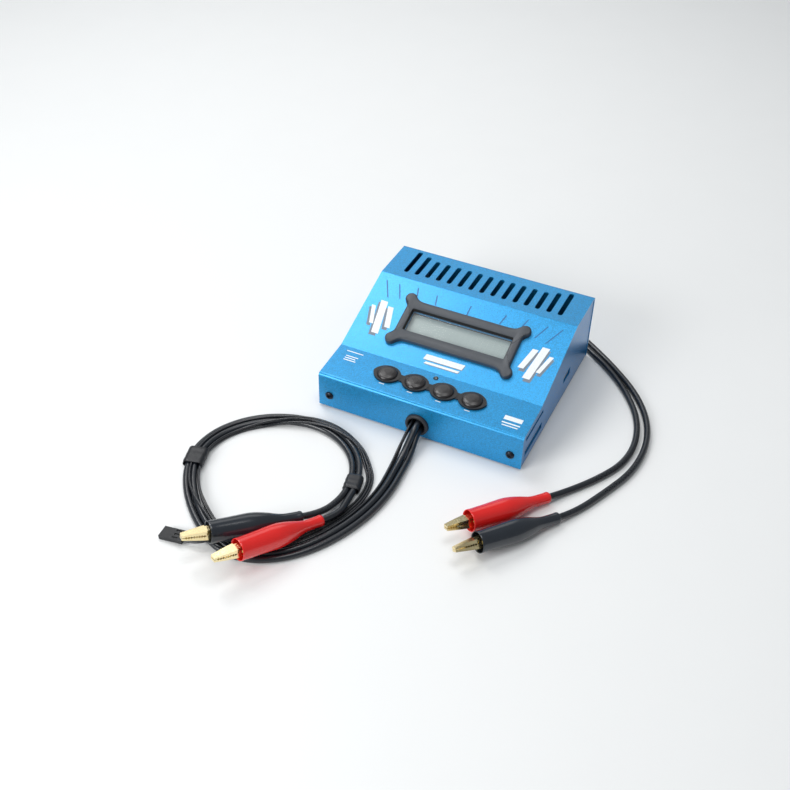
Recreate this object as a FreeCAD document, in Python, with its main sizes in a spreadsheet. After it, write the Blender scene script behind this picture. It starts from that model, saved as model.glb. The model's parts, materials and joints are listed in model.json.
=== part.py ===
"""Balance battery charger: case, keypad, display, electronics, leads and crocodile clips.

Millimetres, +X right, -Y front (keypad side), +Z up.  The origin is the centre of the case at the surface
it stands on.
"""
import FreeCAD, Part
import math
import os
import Sketcher
from FreeCAD import Placement, Rotation, Vector

doc = FreeCAD.newDocument("balance_charger")
sheet = doc.addObject("Spreadsheet::Sheet", "sizes")

# ---------------------------------------------------------------------------------------------------
# Driving dimensions
# ---------------------------------------------------------------------------------------------------
DIMENSIONS = {
    # case, measured from its front face and from the surface it stands on
    "case_width": 130.0, "case_depth": 119.5, "foot_height": 1.0, "sheet_metal": 1.2,
    "front_height": 24.2, "panel_run": 29.1, "panel_top": 25.9, "slope_end": 84.8, "deck_height": 46.1,
    "bend_radius": 2.0, "cover_gap": 0.1, "side_inset": 0.3, "foot_radius": 5.0, "foot_inset": 13.0,
    # vents in the deck
    "vent_pitch": 7.34, "vent_width": 3.2, "vent_front": 91.0, "vent_rear": 110.5, "vent_step": 2.6,
    # display on the slope
    "display_centre": 29.2, "bezel_width": 75.4, "bezel_length": 29.2, "bezel_height": 3.0,
    "ear_radius": 3.6, "ear_pitch_x": 75.0, "ear_pitch_y": 31.0, "view_width": 64.5, "view_length": 14.8,
    "lens_width": 66.6, "lens_length": 17.0, "lens_thick": 1.0,
    "module_width": 80.0, "module_length": 36.0, "module_screw": 1.2,
    # keypad on the front panel
    "key_pitch": 18.1, "key_line": 15.8, "key_radius": 6.0, "key_clearance": 0.2, "key_crown": 3.3,
    "key_travel": 0.8, "surround_height": 1.3, "lobe_length": 17.9, "lobe_width": 14.0,
    "neck_width": 5.0, "led_line": 25.3, "led_radius": 1.5,
    # cover screws
    "screw_x": 57.9, "screw_level": 9.5, "screw_head": 2.6, "screw_dome": 1.5, "screw_core": 1.25,
    "screw_length": 5.0,
    # boards
    "board_thick": 1.6, "board_level": 4.2, "board_width": 123.0, "board_front": 4.6, "board_rear": 110.5,
    # grommets and leads
    "grommet_level": 9.6, "grommet_radius": 7.25, "grommet_hole": 5.0, "grommet_neck": 6.0,
    "grommet_flange": 2.2, "input_x": 24.0, "power_wire": 3.8, "sensor_wire": 1.4,
    # crocodile clips, measured along the clip from the wire end of its boot
    "boot_length": 52.0, "boot_radius": 6.7, "boot_neck": 3.1, "boot_mouth": 6.3, "boot_wall": 0.8,
    "clip_length": 66.3, "pin_place": 49.0, "pin_radius": 1.0, "jaw_width": 6.0, "jaw_sheet": 0.7,
    "jaw_height": 2.8, "tail_start": 31.0, "tail_rise": 4.6,
}


class Size:
    """A number together with the spreadsheet formula that it comes from."""

    def __init__(self, value, formula=None):
        self.value = float(value)
        self.formula = formula or repr(float(value))

    def join(self, other, sign, value):
        return Size(value, "(%s %s %s)" % (self.formula, sign, other.formula))

    def __add__(self, other):
        other = as_size(other)
        return self.join(other, "+", self.value + other.value)

    def __sub__(self, other):
        other = as_size(other)
        return self.join(other, "-", self.value - other.value)

    def __mul__(self, other):
        other = as_size(other)
        return self.join(other, "*", self.value * other.value)

    def __truediv__(self, other):
        other = as_size(other)
        return self.join(other, "/", self.value / other.value)

    def __neg__(self):
        return Size(-self.value, "(0 - %s)" % self.formula)

    __radd__ = __add__

    def __rsub__(self, other):
        return as_size(other) - self

    def __rmul__(self, other):
        return as_size(other) * self

    def __float__(self):
        return self.value


def as_size(value):
    return value if isinstance(value, Size) else Size(value)


for row, (alias, number) in enumerate(DIMENSIONS.items(), 1):
    sheet.set("A%d" % row, alias)
    sheet.set("B%d" % row, str(number))
    sheet.setAlias("B%d" % row, alias)
doc.recompute()
S = {alias: Size(getattr(sheet, alias), "sizes." + alias) for alias in DIMENSIONS}

FRONT = -(S["case_depth"] / 2)
REAR = S["case_depth"] / 2
WALL = S["sheet_metal"]
nodes = []


# ---------------------------------------------------------------------------------------------------
# Helpers
# ---------------------------------------------------------------------------------------------------
def bind(obj, path, size):
    """Ties one property of an object to the sheet."""
    obj.setExpression(path, as_size(size).formula)


def set_place(obj, x=0, y=0, z=0, axis=None, angle=0):
    """Puts an object at a bound place, turned about one axis by a bound angle in degrees."""
    turn = Rotation(axis or Vector(0, 0, 1), float(as_size(angle)))
    obj.Placement = Placement(Vector(float(as_size(x)), float(as_size(y)), float(as_size(z))), turn)
    for letter, value in zip("xyz", (x, y, z)):
        bind(obj, "Placement.Base." + letter, value)
    if axis is not None:
        bind(obj, "Placement.Rotation.Angle", angle)


def keep(obj, label):
    """Marks an object as a sub-part that gets a file of its own."""
    obj.Label = label
    nodes.append(obj)
    return obj


def new_body(name):
    return doc.addObject("PartDesign::Body", name)


def new_sketch(body, role, name, lift=0, y=0, angle=0):
    """A sketch on one of the body's own planes; lift is along the plane's normal."""
    sketch = body.newObject("Sketcher::SketchObject", name)
    plane = next(item for item in body.Origin.OriginFeatures if item.Role == role)
    sketch.AttachmentSupport = [(plane, "")]
    sketch.MapMode = "FlatFace"
    turn = Rotation(Vector(1, 0, 0), float(as_size(angle)))
    sketch.AttachmentOffset = Placement(Vector(0, float(as_size(y)), float(as_size(lift))), turn)
    bind(sketch, "AttachmentOffset.Base.y", y)
    bind(sketch, "AttachmentOffset.Base.z", lift)
    if isinstance(angle, Size):
        bind(sketch, "AttachmentOffset.Rotation.Angle", angle)
    return sketch


def limit(sketch, kind, where, size):
    """Adds one dimension to a sketch and ties it to the sheet."""
    size = as_size(size)
    index = sketch.addConstraint(Sketcher.Constraint(kind, *where, size.value))
    sketch.setExpression("Constraints[%d]" % index, size.formula)


def outline(sketch, corners):
    """A closed outline of straight lines through bound corners."""
    count = len(corners)
    points = [Vector(float(as_size(x)), float(as_size(y)), 0) for x, y in corners]
    first = sketch.GeometryCount
    for i in range(count):
        sketch.addGeometry(Part.LineSegment(points[i], points[(i + 1) % count]))
    for i in range(count):
        after = first + (i + 1) % count
        sketch.addConstraint(Sketcher.Constraint("Coincident", first + i, 2, after, 1))
        limit(sketch, "DistanceX", (-1, 1, first + i, 1), corners[i][0])
        limit(sketch, "DistanceY", (-1, 1, first + i, 1), corners[i][1])


def rectangle(sketch, width, length, x=0, y=0):
    """A rectangle of width by length about the point x, y."""
    half_w, half_l = as_size(width) / 2, as_size(length) / 2
    x, y = as_size(x), as_size(y)
    outline(sketch, [(x - half_w, y - half_l), (x + half_w, y - half_l),
                     (x + half_w, y + half_l), (x - half_w, y + half_l)])


def circle(sketch, x, y, radius):
    x, y, radius = as_size(x), as_size(y), as_size(radius)
    index = sketch.addGeometry(Part.Circle(Vector(x.value, y.value, 0), Vector(0, 0, 1), radius.value))
    limit(sketch, "Radius", (index,), radius)
    limit(sketch, "DistanceX", (-1, 1, index, 3), x)
    limit(sketch, "DistanceY", (-1, 1, index, 3), y)


def slot(sketch, x, start, end, width):
    """A slot along y with round ends that touch start and end."""
    x, start, end, radius = as_size(x), as_size(start), as_size(end), as_size(width) / 2
    low, high = start + radius, end - radius
    up, r = Vector(0, 0, 1), radius.value
    top = sketch.addGeometry(Part.ArcOfCircle(
        Part.Circle(Vector(x.value, high.value, 0), up, r), 0, math.pi))
    bottom = sketch.addGeometry(Part.ArcOfCircle(
        Part.Circle(Vector(x.value, low.value, 0), up, r), math.pi, 2 * math.pi))
    left = sketch.addGeometry(Part.LineSegment(
        Vector(x.value - r, high.value, 0), Vector(x.value - r, low.value, 0)))
    right = sketch.addGeometry(Part.LineSegment(
        Vector(x.value + r, low.value, 0), Vector(x.value + r, high.value, 0)))
    for a, a_end, b, b_end in ((top, 2, left, 1), (left, 2, bottom, 1),
                               (bottom, 2, right, 1), (right, 2, top, 1)):
        sketch.addConstraint(Sketcher.Constraint("Tangent", a, a_end, b, b_end))
    limit(sketch, "Radius", (top,), radius)
    limit(sketch, "DistanceX", (-1, 1, top, 3), x)
    limit(sketch, "DistanceY", (-1, 1, top, 3), high)
    limit(sketch, "DistanceX", (-1, 1, bottom, 3), x)
    limit(sketch, "DistanceY", (-1, 1, bottom, 3), low)


def add(body, kind, sketch, length=None, both_ways=False, reverse=False):
    """A Pad or Pocket of a sketch; no length cuts through everything."""
    feature = body.newObject("PartDesign::" + kind, sketch.Name + "_" + kind.lower())
    feature.Profile = sketch
    if length is None:
        feature.Type = "ThroughAll"
    else:
        bind(feature, "Length", length)
    feature.Midplane = both_ways
    feature.Reversed = reverse
    sketch.Visibility = False
    before = body_volume(body, feature)
    doc.recompute()
    if kind == "Pocket" and abs(before - body.Shape.Volume) < 1e-6:
        raise RuntimeError("%s cut nothing" % feature.Name)
    return feature


def body_volume(body, feature):
    """The body's volume up to the feature before this one."""
    base = feature.BaseFeature
    return base.Shape.Volume if base else 0.0


def spin(body, sketch, axis_name):
    """A full turn of a sketch about one of the body's own axes."""
    feature = body.newObject("PartDesign::Revolution", sketch.Name + "_turn")
    feature.Profile = sketch
    axis = next(item for item in body.Origin.OriginFeatures if item.Role == axis_name)
    feature.ReferenceAxis = (axis, [""])
    feature.Angle = 360
    doc.recompute()
    return feature


def round_edges(body, radius, chosen, name, kind="Fillet"):
    """Rounds or bevels the edges of the body's tip that the chosen function accepts."""
    base = body.Tip
    edges = ["Edge%d" % (i + 1) for i, edge in enumerate(base.Shape.Edges) if chosen(edge)]
    feature = body.newObject("PartDesign::" + kind, name)
    feature.Base = (base, edges)
    bind(feature, "Radius" if kind == "Fillet" else "Size", radius)
    doc.recompute()
    return feature


def box(name, width, length, height, x=0, y=0, z=0):
    """A block centred on x and y, standing on z."""
    part = doc.addObject("Part::Box", name)
    width, length = as_size(width), as_size(length)
    bind(part, "Length", width)
    bind(part, "Width", length)
    bind(part, "Height", height)
    set_place(part, as_size(x) - width / 2, as_size(y) - length / 2, z)
    return part


def cylinder(name, radius, height, x=0, y=0, z=0, axis=None, angle=0):
    """A cylinder standing on x, y, z, or lying where an axis and angle turn it."""
    part = doc.addObject("Part::Cylinder", name)
    bind(part, "Radius", radius)
    bind(part, "Height", height)
    set_place(part, x, y, z, axis, angle)
    return part


def joined(kind, name, parts):
    """A MultiFuse or Compound of several objects."""
    whole = doc.addObject("Part::" + kind, name)
    if kind == "Compound":
        whole.Links = parts
    else:
        whole.Shapes = parts
    return whole


def minus(name, base, tool):
    cut = doc.addObject("Part::Cut", name)
    cut.Base = base
    cut.Tool = tool
    return cut


def copies(label, master, places):
    """One sub-part made of several equal pieces."""
    links = []
    for i, place in enumerate(places):
        link = doc.addObject("App::Link", "%s_%d" % (label, i + 1))
        link.LinkedObject = master
        link.Placement = place
        links.append(link)
    return keep(joined("Compound", label + "_group", links), label)


# ---------------------------------------------------------------------------------------------------
# Sloping faces of the cover
# ---------------------------------------------------------------------------------------------------
PANEL_RISE = S["panel_top"] - S["front_height"]
SLOPE_RUN = S["slope_end"] - S["panel_run"]
SLOPE_RISE = S["deck_height"] - S["panel_top"]
PANEL_ANGLE = Size(math.degrees(math.atan2(PANEL_RISE.value, S["panel_run"].value)),
                   "atan(%s / %s) / 1deg" % (PANEL_RISE.formula, S["panel_run"].formula))
SLOPE_ANGLE = Size(math.degrees(math.atan2(SLOPE_RISE.value, SLOPE_RUN.value)),
                   "atan(%s / %s) / 1deg" % (SLOPE_RISE.formula, SLOPE_RUN.formula))
PANEL = dict(y=FRONT, z=S["front_height"], axis=Vector(1, 0, 0), angle=PANEL_ANGLE)
SLOPE = dict(y=FRONT + S["panel_run"], z=S["panel_top"], axis=Vector(1, 0, 0), angle=SLOPE_ANGLE)
EAR_PLACES = [(sx * S["ear_pitch_x"] / 2, S["display_centre"] + sy * S["ear_pitch_y"] / 2)
              for sx in (-1, 1) for sy in (-1, 1)]
KEY_PLACES = [(i - 1.5) * S["key_pitch"] for i in range(4)]


def runs_along_x(edge):
    """True for a straight edge parallel to X."""
    start, end = edge.Vertexes[0].Point, edge.Vertexes[-1].Point
    return abs(start.y - end.y) < 1e-6 and abs(start.z - end.z) < 1e-6 and len(edge.Vertexes) == 2


def is_bend(edge):
    """True for the four bends of the case's profile, above its bottom edges."""
    return runs_along_x(edge) and edge.Vertexes[0].Point.z > float(S["front_height"]) - 3


# ---------------------------------------------------------------------------------------------------
# Case
# ---------------------------------------------------------------------------------------------------
def make_top_cover():
    """Bent sheet: front wall, keypad panel, slope, vented deck and rear wall."""
    body = new_body("cover_body")
    profile = new_sketch(body, "YZ_Plane", "cover_profile")
    outline(profile, [(FRONT, S["foot_height"]), (FRONT, S["front_height"]),
                      (FRONT + S["panel_run"], S["panel_top"]), (FRONT + S["slope_end"], S["deck_height"]),
                      (REAR, S["deck_height"]), (REAR, S["foot_height"])])
    add(body, "Pad", profile, S["case_width"], both_ways=True)
    round_edges(body, S["bend_radius"], is_bend, "cover_bends")
    shell = body.newObject("PartDesign::Thickness", "cover_shell")
    half = float(S["case_width"]) / 2
    open_faces = []
    for i, face in enumerate(body.Shape.Faces):
        centre = face.CenterOfMass
        if abs(abs(centre.x) - half) < 1e-6 or abs(centre.z - float(S["foot_height"])) < 1e-6:
            open_faces.append("Face%d" % (i + 1))
    shell.Base = (doc.getObject("cover_bends"), open_faces)
    bind(shell, "Value", WALL)
    shell.Join = 0
    shell.Reversed = True
    doc.recompute()

    vents = new_sketch(body, "XY_Plane", "cover_vents")
    for i in range(-7, 8):
        extra = {7: 2, 6: 1}.get(abs(i), 0)
        slot(vents, i * S["vent_pitch"], FRONT + S["vent_front"],
             FRONT + S["vent_rear"] + extra * S["vent_step"], S["vent_width"])
    add(body, "Pocket", vents, reverse=True)

    panel_holes = new_sketch(body, "XY_Plane", "panel_holes", S["front_height"], FRONT, PANEL_ANGLE)
    for x in KEY_PLACES:
        circle(panel_holes, x, S["key_line"], S["key_radius"] + S["key_clearance"])
    circle(panel_holes, 0, S["led_line"], S["led_radius"] + 0.15)
    add(body, "Pocket", panel_holes, 3 * WALL)

    slope_holes = new_sketch(body, "XY_Plane", "slope_holes", S["panel_top"],
                             FRONT + S["panel_run"], SLOPE_ANGLE)
    rectangle(slope_holes, S["view_width"] + 0.6, S["view_length"] + 0.6, 0, S["display_centre"])
    for x, y in EAR_PLACES:
        circle(slope_holes, x, y, S["module_screw"] + 0.2)
    add(body, "Pocket", slope_holes, 3 * WALL)

    for name, lift, x in (("front_holes", -FRONT, 0), ("rear_holes", FRONT, S["input_x"])):
        holes = new_sketch(body, "XZ_Plane", name, lift)
        circle(holes, x, S["grommet_level"], S["grommet_neck"] + 0.1)
        for side in (-1, 1):
            circle(holes, side * S["screw_x"], S["screw_level"], S["screw_core"] + 0.25)
        add(body, "Pocket", holes, 3 * WALL, reverse=name == "rear_holes")
    return keep(body, "top_cover")


def offset_corner(y, z, angle_before, angle_after, depth):
    """The corner of a profile moved inward by depth from both faces that meet there."""
    mean = math.radians((angle_before + angle_after) / 2)
    half = math.radians((angle_after - angle_before) / 2)
    return (y + depth * (math.sin(mean) / math.cos(half)), z - depth * (math.cos(mean) / math.cos(half)))


def make_base_tray():
    """Bottom plate with both side walls and the inward tabs that take the cover screws."""
    depth = WALL + S["cover_gap"]
    panel, slope = PANEL_ANGLE.value, SLOPE_ANGLE.value
    front, rear = FRONT + depth, REAR - depth
    outer = S["case_width"] / 2 - S["side_inset"]
    inner = outer - WALL
    front_top = S["front_height"] - depth * ((1 - math.sin(math.radians(panel))) / math.cos(math.radians(panel)))
    body = new_body("tray_body")
    plate = new_sketch(body, "XY_Plane", "tray_plate", S["foot_height"])
    rectangle(plate, 2 * outer, rear - front)
    add(body, "Pad", plate, WALL)
    for side, sign in (("left", -1), ("right", 1)):
        lift = inner if sign > 0 else -outer
        wall = new_sketch(body, "YZ_Plane", side + "_wall", lift)
        corner = offset_corner(FRONT + S["panel_run"], S["panel_top"], panel, slope, depth)
        ridge = offset_corner(FRONT + S["slope_end"], S["deck_height"], slope, 0, depth)
        outline(wall, [(front, S["foot_height"]), (front, front_top), corner, ridge,
                       (rear, S["deck_height"] - depth), (rear, S["foot_height"])])
        add(body, "Pad", wall, WALL)
    half = outer.value - WALL.value
    corners = lambda edge: is_bend(edge) and abs(edge.CenterOfMass.x) > half
    round_edges(body, S["bend_radius"] - WALL + 0.3, corners, "tray_corners")

    for name, lift in (("front_tabs", -front - WALL), ("rear_tabs", -rear)):
        tabs = new_sketch(body, "XZ_Plane", name, lift)
        for side in (-1, 1):
            rectangle(tabs, 13, 14, side * (inner - 6.4), S["screw_level"] + 0.5)
        add(body, "Pad", tabs, WALL)
        holes = new_sketch(body, "XZ_Plane", name + "_holes", lift)
        for side in (-1, 1):
            circle(holes, side * S["screw_x"], S["screw_level"], S["screw_core"] + 0.02)
        add(body, "Pocket", holes, 2 * WALL, both_ways=True)

    ports = new_sketch(body, "YZ_Plane", "wall_ports", outer)
    rectangle(ports, 28, 2.2, FRONT + 19.8, 18.9)
    rectangle(ports, 28, 4.6, FRONT + 19.8, 8.1)
    rectangle(ports, 12, 5.2, FRONT + 77.2, 14.3)
    add(body, "Pocket", ports, 2 * WALL)
    return keep(body, "base_tray")


def make_feet():
    feet = []
    for i, (sx, sy) in enumerate(((-1, -1), (1, -1), (-1, 1), (1, 1))):
        x = sx * (S["case_width"] / 2 - S["foot_inset"])
        y = sy * (S["case_depth"] / 2 - S["foot_inset"])
        feet.append(cylinder("foot_%d" % i, S["foot_radius"], S["foot_height"], x, y, 0))
    keep(joined("Compound", "feet_group", feet), "rubber_feet")


def turned(name, corners):
    """A body turned about Z from a half profile of (radius, height) corners."""
    body = new_body(name)
    sketch = new_sketch(body, "XZ_Plane", name + "_profile")
    outline(sketch, corners)
    spin(body, sketch, "Z_Axis")
    return body


def make_cover_screws():
    """Dome-headed screws, two at the front and two at the rear."""
    core, head, dome = S["screw_core"], S["screw_head"], S["screw_dome"]
    screw = turned("cover_screw", [(0, -S["screw_length"]), (core, -S["screw_length"]), (core, 0), (head, 0),
                                   (head, dome * 0.35), (head * 0.75, dome * 0.8), (head * 0.4, dome),
                                   (0, dome)])
    x, z, y = float(S["screw_x"]), float(S["screw_level"]), float(REAR)
    out_front = Rotation(Vector(1, 0, 0), 90)
    out_rear = Rotation(Vector(1, 0, 0), -90)
    places = [Placement(Vector(side * x, -y, z), out_front) for side in (-1, 1)]
    places += [Placement(Vector(side * x, y, z), out_rear) for side in (-1, 1)]
    copies("cover_screws", screw, places)


# ---------------------------------------------------------------------------------------------------
# Display
# ---------------------------------------------------------------------------------------------------
def make_bezel():
    """Raised frame round the display with a round ear over each of the module's four screws."""
    body = new_body("bezel_body")
    centre = S["display_centre"]
    plate = new_sketch(body, "XY_Plane", "bezel_plate")
    rectangle(plate, S["bezel_width"], S["bezel_length"], 0, centre)
    add(body, "Pad", plate, S["bezel_height"])
    top = float(S["bezel_height"])
    rim = lambda edge: all(abs(vertex.Point.z - top) < 1e-6 for vertex in edge.Vertexes)
    round_edges(body, 1.2, rim, "bezel_bevel", "Chamfer")
    for i, (x, y) in enumerate(EAR_PLACES):
        ear = new_sketch(body, "XY_Plane", "bezel_ear_%d" % i)
        circle(ear, x, y, S["ear_radius"])
        add(body, "Pad", ear, S["bezel_height"] - 0.4)
    opening = new_sketch(body, "XY_Plane", "bezel_opening")
    rectangle(opening, S["view_width"], S["view_length"], 0, centre)
    add(body, "Pocket", opening, reverse=True)
    recess = new_sketch(body, "XY_Plane", "bezel_recess")
    rectangle(recess, S["lens_width"] + 0.4, S["lens_length"] + 0.4, 0, centre)
    add(body, "Pocket", recess, S["lens_thick"] + 0.1, reverse=True)
    holes = new_sketch(body, "XY_Plane", "bezel_screw_holes")
    for x, y in EAR_PLACES:
        circle(holes, x, y, S["module_screw"] + 0.02)
    add(body, "Pocket", holes, 1.8, reverse=True)
    set_place(body, 0, **SLOPE)
    return keep(body, "lcd_bezel")


def slope_plate(label, width, length, low, thick, window=None, holes=None):
    """A flat plate parallel to the slope, with an optional window and round holes."""
    body = new_body(label + "_body")
    centre = S["display_centre"]
    plate = new_sketch(body, "XY_Plane", label + "_plate", low)
    rectangle(plate, width, length, 0, centre)
    if window:
        rectangle(plate, window[0], window[1], 0, centre)
    for x, y in (EAR_PLACES if holes else []):
        circle(plate, x, y, holes)
    add(body, "Pad", plate, thick)
    set_place(body, 0, **SLOPE)
    return keep(body, label)


def make_display():
    """Lens, glass, metal frame, board, spacers and screws of the display module."""
    slope_plate("lcd_window", S["lens_width"], S["lens_length"], 0.05, S["lens_thick"])
    frame = new_body("frame_body")
    outer = new_sketch(frame, "XY_Plane", "frame_outer", -6.6)
    rectangle(outer, 71.2, 25.2, 0, S["display_centre"])
    add(frame, "Pad", outer, 5.2)
    hollow = new_sketch(frame, "XY_Plane", "frame_hollow", -6.6)
    rectangle(hollow, 69.8, 23.8, 0, S["display_centre"])
    add(frame, "Pocket", hollow, 4.5, reverse=True)
    window = new_sketch(frame, "XY_Plane", "frame_window", -6.6)
    rectangle(window, S["view_width"] + 0.4, S["view_length"] + 0.4, 0, S["display_centre"])
    add(frame, "Pocket", window, reverse=True)
    set_place(frame, 0, **SLOPE)
    keep(frame, "lcd_metal_frame")
    slope_plate("lcd_glass", 68.6, 22.0, -5.0, 2.8)
    slope_plate("lcd_board", S["module_width"], S["module_length"], -8.4, S["board_thick"],
                holes=S["module_screw"] + 0.15)
    radius = S["module_screw"]
    screw = turned("module_screw", [(0, -10.0), (2.3, -10.0), (2.3, -8.4), (radius, -8.4), (radius, 1.5),
                                    (0, 1.5)])
    spacer = turned("module_spacer", [(radius + 0.15, -6.8), (2.7, -6.8), (2.7, -1.2), (radius + 0.15, -1.2)])
    slope = doc.getObject("bezel_body").Placement
    places = [slope.multiply(Placement(Vector(float(x), float(y), 0), Rotation())) for x, y in EAR_PLACES]
    copies("lcd_screws", screw, places)
    post = turned("key_post", [(0, -8.2), (2.4, -8.2), (2.4, -1.2), (0, -1.2)])
    panel = Placement(Vector(0, float(FRONT), float(S["front_height"])),
                      Rotation(Vector(1, 0, 0), PANEL_ANGLE.value))
    links = []
    for i, place in enumerate(places):
        link = doc.addObject("App::Link", "module_spacer_%d" % i)
        link.LinkedObject = spacer
        link.Placement = place
        links.append(link)
    for i, side in enumerate((-1, 1)):
        link = doc.addObject("App::Link", "key_post_%d" % i)
        link.LinkedObject = post
        link.Placement = panel.multiply(Placement(Vector(side * 38.0, float(S["key_line"]), 0), Rotation()))
        links.append(link)
    keep(joined("Compound", "spacer_group", links), "board_spacers")


# ---------------------------------------------------------------------------------------------------
# Keypad
# ---------------------------------------------------------------------------------------------------
def make_surround():
    """Rubber surround: four lens-shaped lobes joined by narrow necks."""
    body = new_body("surround_body")
    half = S["lobe_length"] / 2
    rise = S["lobe_width"] / 2
    radius = (half * half + rise * rise) / (2 * rise)
    neck = new_sketch(body, "XY_Plane", "surround_neck")
    rectangle(neck, 3 * S["key_pitch"], S["neck_width"], 0, S["key_line"])
    add(body, "Pad", neck, S["surround_height"] - 0.2)
    for i, x in enumerate(KEY_PLACES):
        lobe = new_sketch(body, "XY_Plane", "surround_lobe_%d" % i)
        r, span = radius.value, math.asin(half.value / radius.value)
        up = Vector(0, 0, 1)
        upper = lobe.addGeometry(Part.ArcOfCircle(
            Part.Circle(Vector(x.value, S["key_line"].value + rise.value - r, 0), up, r),
            math.pi / 2 - span, math.pi / 2 + span))
        lower = lobe.addGeometry(Part.ArcOfCircle(
            Part.Circle(Vector(x.value, S["key_line"].value - rise.value + r, 0), up, r),
            3 * math.pi / 2 - span, 3 * math.pi / 2 + span))
        lobe.addConstraint(Sketcher.Constraint("Coincident", upper, 2, lower, 1))
        lobe.addConstraint(Sketcher.Constraint("Coincident", lower, 2, upper, 1))
        limit(lobe, "Radius", (upper,), radius)
        limit(lobe, "Radius", (lower,), radius)
        limit(lobe, "DistanceX", (-1, 1, upper, 3), x)
        limit(lobe, "DistanceY", (-1, 1, upper, 3), S["key_line"] + rise - radius)
        limit(lobe, "DistanceY", (-1, 1, lower, 3), S["key_line"] - rise + radius)
        add(body, "Pad", lobe, S["surround_height"])
    holes = new_sketch(body, "XY_Plane", "surround_holes")
    for x in KEY_PLACES:
        circle(holes, x, S["key_line"], S["key_radius"] + S["key_clearance"])
    add(body, "Pocket", holes, reverse=True)
    set_place(body, 0, **PANEL)
    keep(body, "keypad_surround")


def make_buttons():
    """Domed push buttons with a retaining flange and a stem over each switch."""
    radius, crown = S["key_radius"], S["key_crown"]
    for i, x in enumerate(KEY_PLACES):
        body = new_body("button_%d_body" % (i + 1))
        sketch = new_sketch(body, "XZ_Plane", "button_%d_profile" % (i + 1))
        outline(sketch, [(0, -3.6), (2.2, -3.6), (2.2, -2.4), (radius + 1.2, -2.4), (radius + 1.2, -1.4),
                         (radius, -1.4), (radius, crown - 1.5), (radius - 0.6, crown - 0.8),
                         (radius - 2.2, crown - 0.25), (radius - 4.2, crown), (0, crown)])
        spin(body, sketch, "Z_Axis")
        turn = PANEL_ANGLE.value
        along = Rotation(Vector(1, 0, 0), turn).multVec(Vector(x.value, S["key_line"].value, 0))
        body.Placement = Placement(Vector(0, float(FRONT), float(S["front_height"])) + along,
                                   Rotation(Vector(1, 0, 0), turn))
        keep(body, "button_%d" % (i + 1))


def panel_point(x, along, out):
    """A point given by its place on the front panel and its height over it."""
    turn = Rotation(Vector(1, 0, 0), PANEL_ANGLE.value)
    return Vector(0, float(FRONT), float(S["front_height"])) + turn.multVec(Vector(x, along, out))


def make_key_board():
    """Board with a tact switch under each button, and the status lamp."""
    body = new_body("key_board_body")
    board = new_sketch(body, "XY_Plane", "key_board_plate", -9.8)
    rectangle(board, 84, 21.5, 0, 17.2)
    add(body, "Pad", board, S["board_thick"])
    set_place(body, 0, **PANEL)
    keep(body, "key_board")
    housing = box("switch_housing", 6, 6, 3.0, 0, 0, -8.2)
    plunger = cylinder("switch_plunger", 1.7, 0.7, 0, 0, -5.2)
    switch = joined("MultiFuse", "tact_switch", [housing, plunger])
    turn = Rotation(Vector(1, 0, 0), PANEL_ANGLE.value)
    places = [Placement(panel_point(x.value, S["key_line"].value, 0), turn) for x in KEY_PLACES]
    copies("tact_switches", switch, places)
    r = S["led_radius"]
    lamp = turned("lamp_body", [(0, -8.2), (r + 0.4, -8.2), (r + 0.4, -7.0), (r, -7.0), (r, 0.0),
                                (r * 0.8, 0.55), (r * 0.4, 0.85), (0, 0.85)])
    lamp.Placement = Placement(panel_point(0, S["led_line"].value, 0), turn)
    keep(lamp, "status_led")


# ---------------------------------------------------------------------------------------------------
# Electronics inside the case
# ---------------------------------------------------------------------------------------------------
BOARD_TOP = S["board_level"] + S["board_thick"]
BOARD_SCREWS = [(sx * 50.0, y) for sx in (-1, 1) for y in (-44.0, 42.0)]


def make_main_board():
    body = new_body("main_board_body")
    plate = new_sketch(body, "XY_Plane", "main_board_plate", S["board_level"])
    length = S["board_rear"] - S["board_front"]
    rectangle(plate, S["board_width"], length, 0, FRONT + S["board_front"] + length / 2)
    for x, y in BOARD_SCREWS:
        circle(plate, x, y, 1.4)
    add(body, "Pad", plate, S["board_thick"])
    keep(body, "main_board")
    floor = float(S["foot_height"] + WALL)
    level = float(S["board_level"])
    top = float(BOARD_TOP)
    standoff = turned("standoff", [(1.22, floor), (3.0, floor), (3.0, level), (1.22, level)])
    screw = turned("board_screw", [(0, floor + 0.2), (1.2, floor + 0.2), (1.2, top), (2.4, top),
                                   (2.4, top + 1.4), (0, top + 1.4)])
    places = [Placement(Vector(x, y, 0), Rotation()) for x, y in BOARD_SCREWS]
    copies("board_standoffs", standoff, places)
    copies("board_screws", screw, places)


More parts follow.
